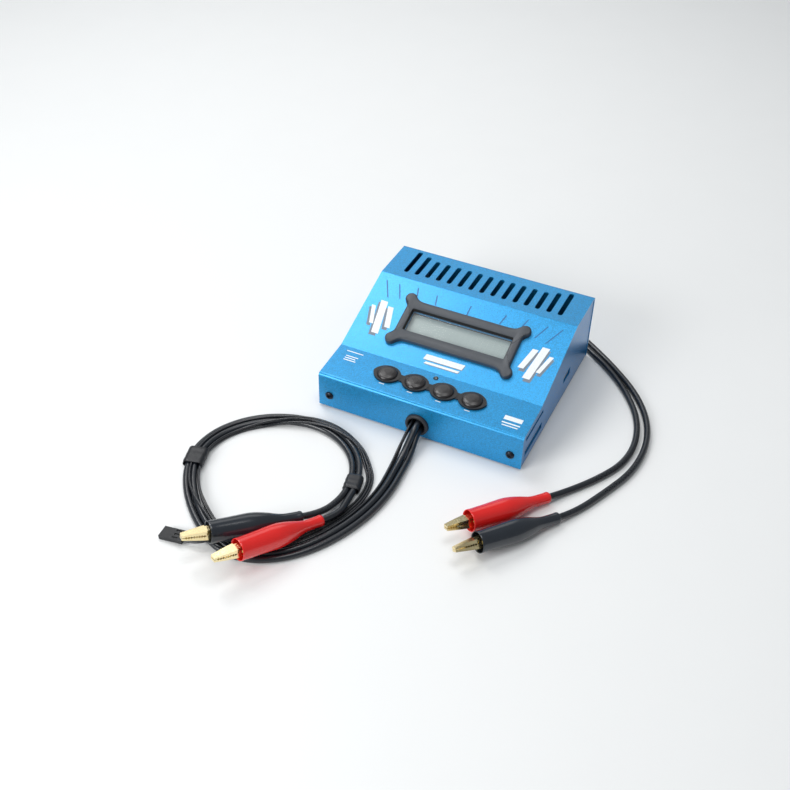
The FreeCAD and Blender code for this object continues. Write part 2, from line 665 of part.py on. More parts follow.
def make_power_stage():
    """Heat sink under the vents with its transistors, chokes, capacitors and fuse."""
    back = FRONT + 91.5
    plate = box("sink_plate", 94, 3, 33, 0, back, 6.5)
    fins = [box("sink_fin_%d" % i, 1.2, 18, 24, i * S["vent_pitch"], back + 10, 15.5) for i in range(-6, 7)]
    keep(joined("MultiFuse", "sink", [plate] + fins), "heat_sink")
    transistor = joined("MultiFuse", "transistor", [
        box("transistor_case", 10.2, 4.4, 9.2, 0, -2.2, 11.8),
        box("transistor_tab", 10.2, 1.3, 6.0, 0, -0.65, 21.0),
        box("transistor_leg_a", 0.9, 0.6, 6.0, -2.54, -2.0, 5.8),
        box("transistor_leg_b", 0.9, 0.6, 6.0, 0, -2.0, 5.8),
        box("transistor_leg_c", 0.9, 0.6, 6.0, 2.54, -2.0, 5.8)])
    face = float(back) - 1.5
    copies("power_transistors", transistor, [Placement(Vector(x, face, 0), Rotation())
                                             for x in (-36, -18, 36, 18)])
    ring = doc.addObject("Part::Torus", "choke_ring")
    bind(ring, "Radius1", 8.0)
    bind(ring, "Radius2", 3.9)
    top = float(BOARD_TOP)
    copies("power_chokes", ring, [Placement(Vector(x, 6.0, top + 3.95), Rotation()) for x in (-20, 12)])
    can = turned("capacitor", [(0, top), (4.6, top), (5.0, top + 0.6), (5.0, top + 14.4), (4.6, top + 15.0),
                               (0, top + 15.0)])
    copies("capacitors", can, [Placement(Vector(x, y, 0), Rotation())
                               for x, y in ((-46, 6), (-46, 18), (34, 12), (-31, -8))])
    holder = joined("MultiFuse", "fuse_whole", [box("fuse_base", 20, 7, 6, -48, -26, BOARD_TOP),
                                                box("fuse_blade", 18, 4, 5, -48, -26, BOARD_TOP + 6)])
    keep(holder, "fuse")


def make_logic():
    """Processor and cell-balancing chips, buzzer, ribbon to the display."""
    chips = [box("processor", 14, 14, 1.5, 24, -14, BOARD_TOP)]
    chips += [box("balance_chip_%d" % i, 4, 5, 1.5, 44, -42 + 8 * i, BOARD_TOP) for i in range(4)]
    keep(joined("Compound", "chip_group", chips), "control_chips")
    buzzer = cylinder("buzzer_can", 6, 8, -30, -34, BOARD_TOP)
    vent = cylinder("buzzer_hole", 1, 3, -30, -34, BOARD_TOP + 6)
    keep(minus("buzzer_cut", buzzer, vent), "buzzer")
    low = BOARD_TOP + 3
    body = new_body("ribbon_body")
    side = new_sketch(body, "YZ_Plane", "ribbon_side")
    start = FRONT + 37
    outline(side, [(start, BOARD_TOP), (start + 3, BOARD_TOP), (start + 3, low), (start + 1.9, low),
                   (start + 1.9, low + 8.4), (start + 8.6, low + 12.4), (start + 8.3, low + 13.2),
                   (start + 1.1, low + 9), (start + 1.1, low), (start, low)])
    add(body, "Pad", side, 22, both_ways=True)
    keep(body, "display_ribbon")


def make_sockets():
    """Balance socket behind the long slot and the sensor socket behind the short one."""
    face = S["case_width"] / 2 - S["side_inset"] - WALL
    socket = new_body("balance_body")
    shell = new_sketch(socket, "XY_Plane", "balance_shell", BOARD_TOP)
    rectangle(shell, 9.4, 29.4, face - 4.8, FRONT + 20.0)
    add(socket, "Pad", shell, 5.0)
    mouth = new_sketch(socket, "YZ_Plane", "balance_mouth", face)
    rectangle(mouth, 27.4, 3.6, FRONT + 20.0, BOARD_TOP + 2.5)
    add(socket, "Pocket", mouth, 7.0)
    keep(socket, "balance_socket")
    pins = [box("balance_pin_%d" % i, 6.2, 0.64, 0.64, face - 3.9, FRONT + 20.0 + (i - 4.5) * 2.6,
                BOARD_TOP + 2.2) for i in range(10)]
    keep(joined("Compound", "balance_pin_group", pins), "balance_pins")
    sensor = new_body("sensor_socket_body")
    block = new_sketch(sensor, "XY_Plane", "sensor_block", BOARD_TOP)
    rectangle(block, 9.4, 13.0, face - 4.8, FRONT + 77.2)
    add(sensor, "Pad", block, 11.6)
    slot_mouth = new_sketch(sensor, "YZ_Plane", "sensor_mouth", face)
    rectangle(slot_mouth, 11.2, 5.0, FRONT + 77.2, 14.3)
    add(sensor, "Pocket", slot_mouth, 6.5)
    keep(sensor, "sensor_socket")
    blocks = [box("output_block", 13, 7, 8.6, 0, FRONT + 12.6, BOARD_TOP),
              box("input_block", 13, 7, 8.6, S["input_x"], REAR - 12.6, BOARD_TOP)]
    keep(joined("Compound", "terminal_group", blocks), "lead_terminals")


# ---------------------------------------------------------------------------------------------------
# Grommets
# ---------------------------------------------------------------------------------------------------
def make_grommets():
    """Rubber rings that line the front and rear cable holes; each is turned about its own axis."""
    hole, neck, rim = S["grommet_hole"], S["grommet_neck"], S["grommet_radius"]
    out = S["grommet_flange"]
    corners = [(hole, -WALL - 2.0), (rim - 0.6, -WALL - 2.0), (rim - 0.6, -WALL - 0.05),
               (neck, -WALL - 0.05), (neck, 0.02), (rim, 0.02), (rim, out * 0.45), (rim - 0.8, out * 0.85),
               (rim - 1.6, out), (hole + 0.4, out), (hole, out * 0.7)]
    for label, x, y, angle in (("output_grommet", 0, FRONT, 90), ("input_grommet", S["input_x"], REAR, -90)):
        body = turned(label + "_body", corners)
        set_place(body, x, y, S["grommet_level"], Vector(1, 0, 0), angle)
        keep(body, label)


# ---------------------------------------------------------------------------------------------------
# Leads
# ---------------------------------------------------------------------------------------------------
# Way of the output bundle, as (x, y) on the surface: out of the front, round the loop on the left
LOOP_WAY = [(0, -50.65), (0, -64.0), (0.2, -72.0), (0.8, -81.5), (1.8, -93.5), (2.8, -107.5), (1.8, -122.5),
            (-1.8, -138.0), (-8.0, -153.5), (-16.5, -167.5), (-27.5, -178.5), (-41.0, -185.0),
            (-55.5, -184.5), (-68.5, -177.0), (-81.0, -167.5), (-92.0, -156.0), (-100.5, -142.5),
            (-104.5, -127.5), (-102.5, -112.5), (-95.0, -99.5), (-84.0, -89.5), (-70.5, -83.0),
            (-56.0, -80.5), (-42.0, -83.0), (-29.5, -90.5), (-20.5, -101.5), (-15.8, -114.5),
            (-14.7, -127.8)]
# Second way of the sensor wires: down inside the first turn, under the boots, over the bundle and out
INNER_WAY = [(-6.8, -105.5), (-4.9, -121.5), (-8.3, -135.9), (-14.1, -150.5), (-21.9, -163.3),
             (-31.5, -172.9), (-42.5, -178.1), (-52.6, -181.2), (-60.4, -185.0)]
# Place of each wire beside its way (outward) and its height, at each point of the way
LANES = {
    "output_lead_plus": [(2.2, 7.75), (2.2, 7.75), (3.2, 4.4), (4.1, 2.1)] + [(4.1, 1.95)] * 11
    + [(4.1, 2.3)] + [(4.1, 2.55)] * 2 + [(4.1, 1.95)] * 7 + [(4.1, 2.5), (4.1, 2.6), (4.1, 3.2)],
    "output_lead_minus": [(1.2, 12.4), (1.2, 12.4), (1.0, 8.6), (0.6, 4.2)] + [(0.15, 1.95)] * 11
    + [(0.15, 2.3)] + [(0.15, 2.55)] * 2 + [(0.15, 1.95)] * 7 + [(0.15, 2.5), (0.15, 2.6), (0.15, 2.9)],
    "sensor_wire_1": [(-3.2, 7.9), (-3.2, 7.9), (-3.7, 4.2), (-4.3, 1.3), (-4.0, 0.75)]
    + [(-3.8, 0.75)] * 7 + [(-4.2, 0.75), (-5.4, 0.8), (-4.6, 0.8), (-2.85, 1.8), (-2.75, 1.85),
                            (-2.75, 1.75), (-3.0, 1.0), (-3.0, 0.8), (-3.0, 1.0), (-2.4, 3.8), (-0.3, 5.0),
                            (2.6, 5.2), (6.45, 4.1), (7.4, 0.8)] + [(-1.6, 0.75)] * 6
    + [(-1.6, 2.6), (-1.6, 4.7), (-1.8, 5.3)],
    "sensor_wire_2": [(-3.4, 10.0), (-3.4, 10.0), (-3.3, 6.2), (-3.0, 2.6), (-2.4, 0.8)]
    + [(-2.35, 0.75)] * 7 + [(-2.5, 0.75), (-2.5, 3.3), (-0.4, 5.0), (2.1, 4.5), (2.1, 4.35), (2.1, 4.35),
                             (2.1, 3.8), (2.1, 3.8), (2.1, 3.8), (2.3, 4.1), (3.9, 4.9), (6.4, 3.9),
                             (9.3, 1.0), (10.7, 0.8)] + [(1.6, 0.75)] * 6
    + [(1.6, 2.6), (1.6, 4.7), (1.8, 5.3)],
    "sensor_wire_3": [(-2.6, 12.1), (-2.6, 12.1), (-2.9, 8.2), (-3.6, 4.1), (-3.2, 2.15)]
    + [(-3.1, 2.1)] * 7 + [(-3.9, 2.2), (-4.1, 2.2), (-3.1, 2.4), (-2.95, 3.35), (-2.9, 3.35), (-2.9, 3.3),
                           (-2.8, 2.45), (-2.7, 2.35), (-2.2, 3.9), (-0.1, 5.0), (1.9, 4.95), (4.3, 5.0),
                           (7.6, 2.9), (9.0, 0.8)] + [(0, 0.75)] * 6
    + [(0, 2.6), (0, 4.7), (0, 5.3)],
}
# Length over which a power lead runs straight into its boot
LEAD_BACK = 11.5
INPUT_WAYS = {
    "input_lead_minus": [(22.0, 50.65, 9.6), (22.0, 66.0, 9.6), (28.0, 76.5, 8.8), (39.5, 80.5, 6.0),
                         (53.0, 76.0, 3.4), (69.0, 66.2, 2.0), (87.5, 51.5, 1.95), (105.5, 34.0, 1.95),
                         (118.5, 13.5, 1.95), (124.5, -9.5, 1.95), (123.0, -34.0, 1.95),
                         (114.5, -56.0, 2.0)],
    "input_lead_plus": [(26.0, 50.65, 9.6), (26.0, 65.0, 9.6), (31.0, 73.0, 8.4), (40.5, 76.0, 5.8),
                       (52.5, 71.8, 3.2), (67.0, 62.8, 2.0), (83.5, 49.8, 1.95), (99.0, 33.5, 1.95),
                       (112.0, 13.5, 1.95), (118.0, -8.5, 1.95), (116.5, -29.5, 1.95),
                       (107.0, -48.5, 2.0)],
}
# Wire end of each clip's boot, with the way it points: heading, rise and roll in degrees
CLIPS = {
    "output_red": (Vector(-14.9, -149.3, 5.7), -117.5, 11.0, 4.0),
    "output_black": (Vector(-25.9, -151.6, 5.7), -129.5, 11.0, 8.0),
    "input_red": (Vector(87.3, -76.2, 3.5), -126.0, 7.0, 16.0),
    "input_black": (Vector(97.3, -88.5, 3.5), -126.0, 7.0, 34.0),
}
# Rear end of the sensor connector, with its heading and rise
CONNECTOR = (Vector(-74.5, -190.2, 2.9), -176.0, -6.0)


def clip_place(name):
    """The place of a clip, whose own X axis runs from its boot's wire end to its jaw tips."""
    spot, heading, rise, roll = CLIPS[name]
    turn = Rotation(Vector(0, 0, 1), heading)
    turn = turn.multiply(Rotation(Vector(0, 1, 0), -rise))
    turn = turn.multiply(Rotation(Vector(1, 0, 0), roll))
    return Placement(spot, turn)


def connector_place():
    """The place of the sensor connector, whose own X axis runs from its wire end to its mouth."""
    spot, heading, rise = CONNECTOR
    turn = Rotation(Vector(0, 0, 1), heading).multiply(Rotation(Vector(0, 1, 0), -rise))
    return Placement(spot, turn)


def beside(way, i, side):
    """The point beside one point of a way, and the heading of the way there."""
    before, after = way[max(i - 1, 0)], way[min(i + 1, len(way) - 1)]
    heading = math.atan2(after[1] - before[1], after[0] - before[0])
    x, y = way[i]
    return x - side * math.sin(heading), y + side * math.cos(heading), math.degrees(heading)


def bundle_route(label):
    """The points of one wire of the output bundle, up to its free end."""
    lanes = LANES[label]
    way = LOOP_WAY if len(lanes) == len(LOOP_WAY) else LOOP_WAY[:26] + INNER_WAY
    return [Vector(*beside(way, i, side)[:2], height) for i, (side, height) in enumerate(lanes)]


def make_lead(label, points, diameter):
    """A round cord along straight runs joined by tangent arcs."""
    diameter = float(diameter)
    edges = []
    radii = []
    start = points[0]
    for i in range(1, len(points) - 1):
        before, corner, after = points[i - 1], points[i], points[i + 1]
        run_in, run_out = corner - before, after - corner
        turn = run_in.getAngle(run_out)
        shorter = min(run_in.Length, run_out.Length)
        reach = 0.45 * shorter
        radius = reach / math.tan(turn / 2)
        radii.append(radius)
        way_in, way_out = Vector(run_in).normalize(), Vector(run_out).normalize()
        first, last = corner - way_in * reach, corner + way_out * reach
        middle_way = (way_out - way_in).normalize()
        middle = corner + middle_way * (math.hypot(radius, reach) - radius)
        edges.append(Part.LineSegment(start, first).toShape())
        edges.append(Part.Arc(first, middle, last).toShape())
        start = last
    edges.append(Part.LineSegment(start, points[-1]).toShape())
    path = Part.Wire(edges)
    ring = Part.Wire(Part.makeCircle(diameter / 2, points[0], points[1] - points[0]))
    tube = path.makePipeShell([ring], True, False)
    expected = math.pi * diameter ** 2 / 4 * path.Length
    print("%s: length %.1f, smallest radius %.1f, volume ratio %.4f, runs %.1f to %.1f"
          % (label, path.Length, min(radii), tube.Volume / expected,
             min(b.distanceToPoint(a) for a, b in zip(points, points[1:])),
             max(b.distanceToPoint(a) for a, b in zip(points, points[1:]))))
    lead = doc.addObject("Part::Feature", label + "_tube")
    lead.Shape = tube
    keep(lead, label)


def make_leads():
    for colour, pole in (("red", "plus"), ("black", "minus")):
        for kind in ("output", "input"):
            label = kind + "_lead_" + pole
            place = clip_place(kind + "_" + colour)
            route = [Vector(*point) for point in INPUT_WAYS.get(label, [])] or bundle_route(label)
            route += [place.multVec(Vector(-LEAD_BACK, 0, 0)), place.Base]
            make_lead(label, route, S["power_wire"])
    place = connector_place()
    for i, side in ((1, -2.0), (2, 2.0), (3, 0.0)):
        label = "sensor_wire_%d" % i
        route = bundle_route(label)
        route += [place.multVec(Vector(-7.5, side, 0)), place.multVec(Vector(0, side, 0))]
        make_lead(label, route, S["sensor_wire"])


def make_connector():
    """Flat three-way socket housing on the sensor wires, with a notch for each contact."""
    body = new_body("connector_body")
    block = new_sketch(body, "XY_Plane", "connector_block", -1.3)
    outline(block, [(0, -3.8), (14, -3.8), (14, 3.8), (0, 3.8)])
    add(body, "Pad", block, 2.6)
    holes = new_sketch(body, "YZ_Plane", "connector_holes", 14)
    for side in (-2.54, 0, 2.54):
        rectangle(holes, 1.3, 1.3, side, 0)
    add(body, "Pocket", holes, 8)
    latches = new_sketch(body, "XY_Plane", "connector_latches", 1.3)
    for side in (-2.54, 0, 2.54):
        rectangle(latches, 3.2, 1.2, 4.5, side)
    add(body, "Pocket", latches, 0.5)
    body.Placement = connector_place()
    keep(body, "sensor_connector")


def make_sleeves():
    """Flattened heat-shrink sleeves: one round the whole bundle, one round the two power leads."""
    sleeves = []
    first, second = beside(LOOP_WAY, 16, 1.3), beside(LOOP_WAY, 17, 1.3)
    middle = [(a + b) / 2 for a, b in zip(first, second)]
    for name, (x, y, heading), width, low, high, length in (
            ("bundle_sleeve", middle, 12.2, 0.05, 5.75, 13.0),
            ("pair_sleeve", beside(LOOP_WAY, 26, 1.9), 10.2, 0.05, 5.4, 11.0)):
        body = new_body(name)
        ring = new_sketch(body, "YZ_Plane", name + "_ring")
        half, rise = width / 2, (high - low) / 2
        for inset in (0.0, 0.5):
            r = rise - inset
            flat = half - rise
            up = Vector(0, 0, 1)
            right = ring.addGeometry(Part.ArcOfCircle(Part.Circle(Vector(flat, 0, 0), up, r),
                                                      -math.pi / 2, math.pi / 2))
            left = ring.addGeometry(Part.ArcOfCircle(Part.Circle(Vector(-flat, 0, 0), up, r),
                                                     math.pi / 2, 3 * math.pi / 2))
            top = ring.addGeometry(Part.LineSegment(Vector(flat, r, 0), Vector(-flat, r, 0)))
            bottom = ring.addGeometry(Part.LineSegment(Vector(-flat, -r, 0), Vector(flat, -r, 0)))
            for a, a_end, b, b_end in ((right, 2, top, 1), (top, 2, left, 1), (left, 2, bottom, 1),
                                       (bottom, 2, right, 1)):
                ring.addConstraint(Sketcher.Constraint("Tangent", a, a_end, b, b_end))
        add(body, "Pad", ring, length, both_ways=True)
        body.Placement = Placement(Vector(x, y, (low + high) / 2), Rotation(Vector(0, 0, 1), heading))
        sleeves.append(body)
    keep(joined("Compound", "sleeve_group", sleeves), "lead_sleeves")


# ---------------------------------------------------------------------------------------------------
# Crocodile clips
# ---------------------------------------------------------------------------------------------------
def make_boot(name, place):
    """Soft boot: solid neck round the wire, then a hollow body that is open at the jaws."""
    body = new_body(name + "_boot_body")
    neck, belly, mouth = S["boot_neck"], S["boot_radius"], S["boot_mouth"]
    wall, length = S["boot_wall"], S["boot_length"]
    sketch = new_sketch(body, "XZ_Plane", name + "_boot_profile")
    outline(sketch, [(0, 0), (0, neck - 0.3), (0.4, neck), (9, neck + 0.1), (13, neck + 0.8),
                     (18, neck + 2.1), (23, belly - 0.75), (27, belly - 0.15), (31, belly), (42, belly - 0.1),
                     (length, mouth), (length, mouth - wall), (42, belly - 0.1 - wall), (31, belly - wall),
                     (27, belly - 0.15 - wall), (23, belly - 0.8 - wall), (18, neck + 1.2), (14, neck - 0.2),
                     (12, 0)])
    spin(body, sketch, "X_Axis")
    body.Placement = place
    keep(body, name + "_boot")


def jaw_teeth(line, depth):
    """Tooth notches along a jaw's biting edge, one triangle for each."""
    first, pitch, count = float(S["pin_place"]) + 5.0, 1.35, 8
    return [[(first + i * pitch, line), (first + (i + 0.9) * pitch, line),
             (first + (i + 0.45) * pitch, line + depth)] for i in range(count)]


def make_jaw(name, label, place, sign, inner):
    """One stamped jaw; sign is -1 for the lower one and 1 for the upper one.

    The jaw is a channel with cheeks round the pin and a flat tail.  Where inner is true its cheeks run
    between the cheeks of the other jaw.
    """
    pin, tip, tail = S["pin_place"], S["clip_length"], S["tail_start"]
    high, rise, sheet_thick = S["jaw_height"], S["tail_rise"], S["jaw_sheet"]
    body = new_body(name + "_" + label + "_body")
    side = new_sketch(body, "XZ_Plane", name + "_" + label + "_side")
    edge = 0.15
    profile = [(tail, rise), (pin - 3, rise - 0.4), (pin + 3.2, high), (pin + 10, high - 0.6), (tip, 1.3),
               (tip, edge), (pin + 4.4, edge), (pin + 3.4, -1.6), (pin - 3.4, -1.6), (pin - 5.2, rise - 1.6),
               (tail, rise - sheet_thick)]
    outline(side, [(x, sign * as_size(z)) for x, z in profile])
    add(body, "Pad", side, S["jaw_width"], both_ways=True)

    plan = new_sketch(body, "XY_Plane", name + "_" + label + "_plan")
    wide = S["jaw_width"] / 2
    for edge_side in (-1, 1):
        outline(plan, [(pin + 5, edge_side * (wide + 1)), (pin + 5, edge_side * wide),
                       (tip + 1, edge_side * (wide - 1.4)), (tip + 1, edge_side * (wide + 1))])
        if inner:
            outline(plan, [(tail - 1, edge_side * (wide + 1)), (tail - 1, edge_side * (wide - 0.95)),
                           (pin + 4.4, edge_side * (wide - 0.95)), (pin + 4.4, edge_side * (wide + 1))])
    add(body, "Pocket", plan, 30, both_ways=True)

    channel = new_sketch(body, "XZ_Plane", name + "_" + label + "_channel")
    gap = (wide - 0.95 - sheet_thick) if inner else (wide - sheet_thick)
    outline(channel, [(x, sign * as_size(z)) for x, z in (
        (tail - 1, rise - sheet_thick), (pin - 3, rise - 0.4 - sheet_thick), (pin + 3.2, high - sheet_thick),
        (pin + 10, high - 0.6 - sheet_thick), (pin + 11.5, 0.9), (pin + 11.5, -3), (tail - 1, -3))])
    add(body, "Pocket", channel, 2 * gap, both_ways=True)

    teeth = new_sketch(body, "XZ_Plane", name + "_" + label + "_teeth")
    for notch in jaw_teeth(edge - 0.05, 0.75):
        outline(teeth, [(x, sign * z) for x, z in notch])
    add(body, "Pocket", teeth, 30, both_ways=True)

    hole = new_sketch(body, "XZ_Plane", name + "_" + label + "_hole")
    circle(hole, pin, 0, S["pin_radius"] + 0.04)
    add(body, "Pocket", hole, 30, both_ways=True)
    body.Placement = place
    keep(body, name + "_" + label)


def make_clips():
    places = {name: clip_place(name) for name in CLIPS}
    for name, place in places.items():
        make_boot(name, place)
        make_jaw(name, "lower_jaw", place, -1, False)
        make_jaw(name, "upper_jaw", place, 1, True)
    pin, radius = float(S["pin_place"]), float(S["pin_radius"])
    inside = float(S["jaw_width"]) / 2 + 0.05
    outside = inside + 0.55
    rivet = turned("rivet", [(0, -outside), (radius + 0.6, -outside), (radius + 0.6, -inside), (radius, -inside),
                             (radius, inside), (radius + 0.6, inside), (radius + 0.6, outside), (0, outside)])
    across = Placement(Vector(pin, 0, 0), Rotation(Vector(1, 0, 0), 90))
    copies("clip_pins", rivet, [place.multiply(across) for place in places.values()])
    coil_radius, wire, rise, turns = 1.6, 0.3, 0.68, 3
    low = -rise * turns / 2
    helix = Part.makeHelix(rise, rise * turns, coil_radius)
    helix.translate(Vector(0, 0, low))
    section = Part.Wire(Part.makeCircle(wire, Vector(coil_radius, 0, low), Vector(0, 1, rise / 10)))
    coil = Part.Wire(helix).makePipeShell([section], True, True)
    spring = doc.addObject("Part::Feature", "clip_spring")
    spring.Shape = coil
    copies("clip_springs", spring, [place.multiply(across) for place in places.values()])


# ---------------------------------------------------------------------------------------------------
# Build, check and write
# ---------------------------------------------------------------------------------------------------
make_top_cover()
make_base_tray()
make_feet()
make_cover_screws()
make_bezel()
make_display()
make_surround()
make_buttons()
make_key_board()
make_main_board()
make_power_stage()
make_logic()
make_sockets()
make_grommets()
make_leads()
make_connector()
make_sleeves()
make_clips()
doc.recompute()

for item in doc.Objects:
    if "Invalid" in item.State or "Error" in item.State:
        raise RuntimeError("%s is %s" % (item.Name, item.State))
os.makedirs("parts", exist_ok=True)
for item in nodes:
    shape = item.Shape
    if shape.isNull() or not shape.isValid() or shape.Volume <= 0:
        raise RuntimeError("%s has no valid shape" % item.Label)
    shape.exportStep(os.path.join("parts", item.Label + ".step"))
print("%d sub-parts written" % len(nodes))
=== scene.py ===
import bpy
import bmesh
import json
import math
import random
from mathutils import Matrix, Vector


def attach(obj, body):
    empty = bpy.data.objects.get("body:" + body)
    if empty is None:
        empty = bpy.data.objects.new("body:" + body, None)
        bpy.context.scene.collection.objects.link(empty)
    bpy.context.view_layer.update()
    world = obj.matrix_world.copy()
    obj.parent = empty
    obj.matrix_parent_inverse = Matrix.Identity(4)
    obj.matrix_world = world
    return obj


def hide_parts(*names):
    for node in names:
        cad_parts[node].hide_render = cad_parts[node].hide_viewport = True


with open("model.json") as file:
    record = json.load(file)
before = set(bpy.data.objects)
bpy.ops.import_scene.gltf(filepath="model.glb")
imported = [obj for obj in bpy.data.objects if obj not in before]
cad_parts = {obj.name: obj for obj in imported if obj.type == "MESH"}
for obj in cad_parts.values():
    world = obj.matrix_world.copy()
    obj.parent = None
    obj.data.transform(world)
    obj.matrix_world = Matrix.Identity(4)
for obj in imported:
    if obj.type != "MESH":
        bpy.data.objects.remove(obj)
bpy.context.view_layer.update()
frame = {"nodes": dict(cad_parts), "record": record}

MM = 0.001
BODY = "charger"
# Case sizes in millimetres, as in the frame
FRONT, REAR = -59.75, 59.75
FRONT_HEIGHT, PANEL_RUN, PANEL_TOP = 24.2, 29.1, 25.9
SLOPE_END, DECK = 84.8, 46.1
PANEL_ANGLE = math.atan2(PANEL_TOP - FRONT_HEIGHT, PANEL_RUN)
SLOPE_ANGLE = math.atan2(DECK - PANEL_TOP, SLOPE_END - PANEL_RUN)
SLOPE = Matrix.Translation((0, FRONT + PANEL_RUN, PANEL_TOP)) @ Matrix.Rotation(SLOPE_ANGLE, 4, "X")
PANEL = Matrix.Translation((0, FRONT, FRONT_HEIGHT)) @ Matrix.Rotation(PANEL_ANGLE, 4, "X")
KEY_X = [-27.15, -9.05, 9.05, 27.15]
KEY_LINE = 15.8
DISPLAY = 29.2
SCREW_X, SCREW_LEVEL, SCREW_HEAD, SCREW_DOME = 57.9, 9.5, 2.6, 1.5
SCREW_CORE, SCREW_LENGTH = 1.25, 5.0
GROMMET_LEVEL, INPUT_X = 9.6, 24
POWER_WIRE, SENSOR_WIRE = 3.8, 1.4
# Foot of the printed shapes, a hair above the paint
PRINT_BASE = 0.01


# ---------------------------------------------------------------------------------------------------
# Camera, light and floor
# ---------------------------------------------------------------------------------------------------
def add_camera():
    """The photograph's camera: all its values come from a fit to the corners of the case."""
    azimuth, elevation, roll = math.radians(24.795), math.radians(39.998), math.radians(1.311)
    aim, distance = Vector((-0.02775, -0.0314, 0)), 0.69067
    back = Vector((math.sin(azimuth) * math.cos(elevation), -math.cos(azimuth) * math.cos(elevation),
                   math.sin(elevation)))
    right = Vector((math.cos(azimuth), math.sin(azimuth), 0))
    up = back.cross(right)
    turned_right = right * math.cos(roll) + up * math.sin(roll)
    turned_up = up * math.cos(roll) - right * math.sin(roll)
    data = bpy.data.cameras.new("camera")
    data.lens = 51.27
    data.sensor_width = 36.0
    data.clip_start = 0.01
    camera = bpy.data.objects.new("camera", data)
    bpy.context.scene.collection.objects.link(camera)
    turn = Matrix((turned_right, turned_up, back)).transposed().to_4x4()
    camera.matrix_world = Matrix.Translation(aim + back * distance) @ turn
    bpy.context.scene.camera = camera


def add_light(name, spot, aim, size, power):
    data = bpy.data.lights.new(name, "AREA")
    data.shape = "RECTANGLE"
    data.size, data.size_y = size
    data.energy = power
    light = bpy.data.objects.new(name, data)
    bpy.context.scene.collection.objects.link(light)
    light.location = spot
    light.rotation_euler = (Vector(aim) - Vector(spot)).to_track_quat("-Z", "Y").to_euler()


def add_studio():
    scene = bpy.context.scene
    scene.view_settings.view_transform = "Standard"
    world = bpy.data.worlds.new("studio")
    world.use_nodes = True
    world.node_tree.nodes["Background"].inputs["Color"].default_value = (0.93, 0.97, 1.0, 1)
    world.node_tree.nodes["Background"].inputs["Strength"].default_value = 0.32
    scene.world = world
    add_light("key", (-0.55, 0.25, 0.95), (-0.02, -0.05, 0.0), (0.36, 0.5), 3.9)
    add_light("front_fill", (-0.45, -0.95, 0.6), (0, -0.05, 0.02), (0.6, 0.35), 5.6)
    add_light("left_fill", (-0.35, -0.62, 0.2), (0.06, -0.12, 0.0), (0.35, 0.2), 1.1)
    add_light("rear", (-0.42, 0.72, 0.68), (0, 0, 0.04), (0.8, 0.5), 1.3)
    add_light("top", (0.1, -0.05, 1.2), (0, -0.05, 0), (0.55, 0.55), 3.7)
    bm = bmesh.new()
    bmesh.ops.create_grid(bm, x_segments=8, y_segments=8, size=2.5)
    mesh = bpy.data.meshes.new("floor")
    bm.to_mesh(mesh)
    floor = bpy.data.objects.new("floor", mesh)
    scene.collection.objects.link(floor)
    floor.location = (0, 0, -0.00002)
    mesh.materials.append(surface("floor_paper", (0.86, 0.87, 0.87), 0.75, grain=0.006, scale=900, bump=0.02,
                                  patches=0.0))


# ---------------------------------------------------------------------------------------------------
# Materials
# ---------------------------------------------------------------------------------------------------
class Nodes:
    """A short way to lay out shader nodes."""

    def __init__(self, name):
        self.material = bpy.data.materials.new(name)
        self.material.use_nodes = True
        self.tree = self.material.node_tree
        self.shader = self.tree.nodes["Principled BSDF"]
        self.place = self.tree.nodes.new("ShaderNodeTexCoord").outputs["Object"]

    def link(self, a, b):
        self.tree.links.new(a, b)

    def noise(self, scale, detail=4.0, rough=0.5, place=None):
        node = self.tree.nodes.new("ShaderNodeTexNoise")
        node.inputs["Scale"].default_value = scale
        node.inputs["Detail"].default_value = detail
        node.inputs["Roughness"].default_value = rough
        self.link(place or self.place, node.inputs["Vector"])
        return node.outputs["Fac"]

    def cells(self, scale):
        node = self.tree.nodes.new("ShaderNodeTexVoronoi")
        node.inputs["Scale"].default_value = scale
        self.link(self.place, node.inputs["Vector"])
        return node

    def spread(self, value, low, high, start=0.3, end=0.7):
        node = self.tree.nodes.new("ShaderNodeMapRange")
        node.inputs["From Min"].default_value = start
        node.inputs["From Max"].default_value = end
        node.inputs["To Min"].default_value = low
        node.inputs["To Max"].default_value = high
        self.link(value, node.inputs["Value"])
        return node.outputs["Result"]

    def math(self, kind, a, b):
        node = self.tree.nodes.new("ShaderNodeMath")
        node.operation = kind
        for socket, value in zip(node.inputs, (a, b)):
            if isinstance(value, (int, float)):
                socket.default_value = value
            else:
                self.link(value, socket)
        return node.outputs["Value"]

    def mix(self, factor, a, b):
        node = self.tree.nodes.new("ShaderNodeMix")
        node.data_type = "RGBA"
        for socket, value in zip((node.inputs[0], node.inputs[6], node.inputs[7]), (factor, a, b)):
            if isinstance(value, tuple):
                socket.default_value = (*value[:3], 1)
            elif isinstance(value, float):
                socket.default_value = value
            else:
                self.link(value, socket)
        return node.outputs[2]

    def bump(self, height, strength, distance=0.0002):
        node = self.tree.nodes.new("ShaderNodeBump")
        node.inputs["Strength"].default_value = strength
        node.inputs["Distance"].default_value = distance
        self.link(height, node.inputs["Height"])
        self.link(node.outputs["Normal"], self.shader.inputs["Normal"])

    def stretched(self, x, y, z):
        node = self.tree.nodes.new("ShaderNodeMapping")
        node.inputs["Scale"].default_value = (x, y, z)
        self.link(self.place, node.inputs["Vector"])
        return node.outputs["Vector"]


def shade(colour, factor):
    return tuple(min(1.0, c * factor) for c in colour)


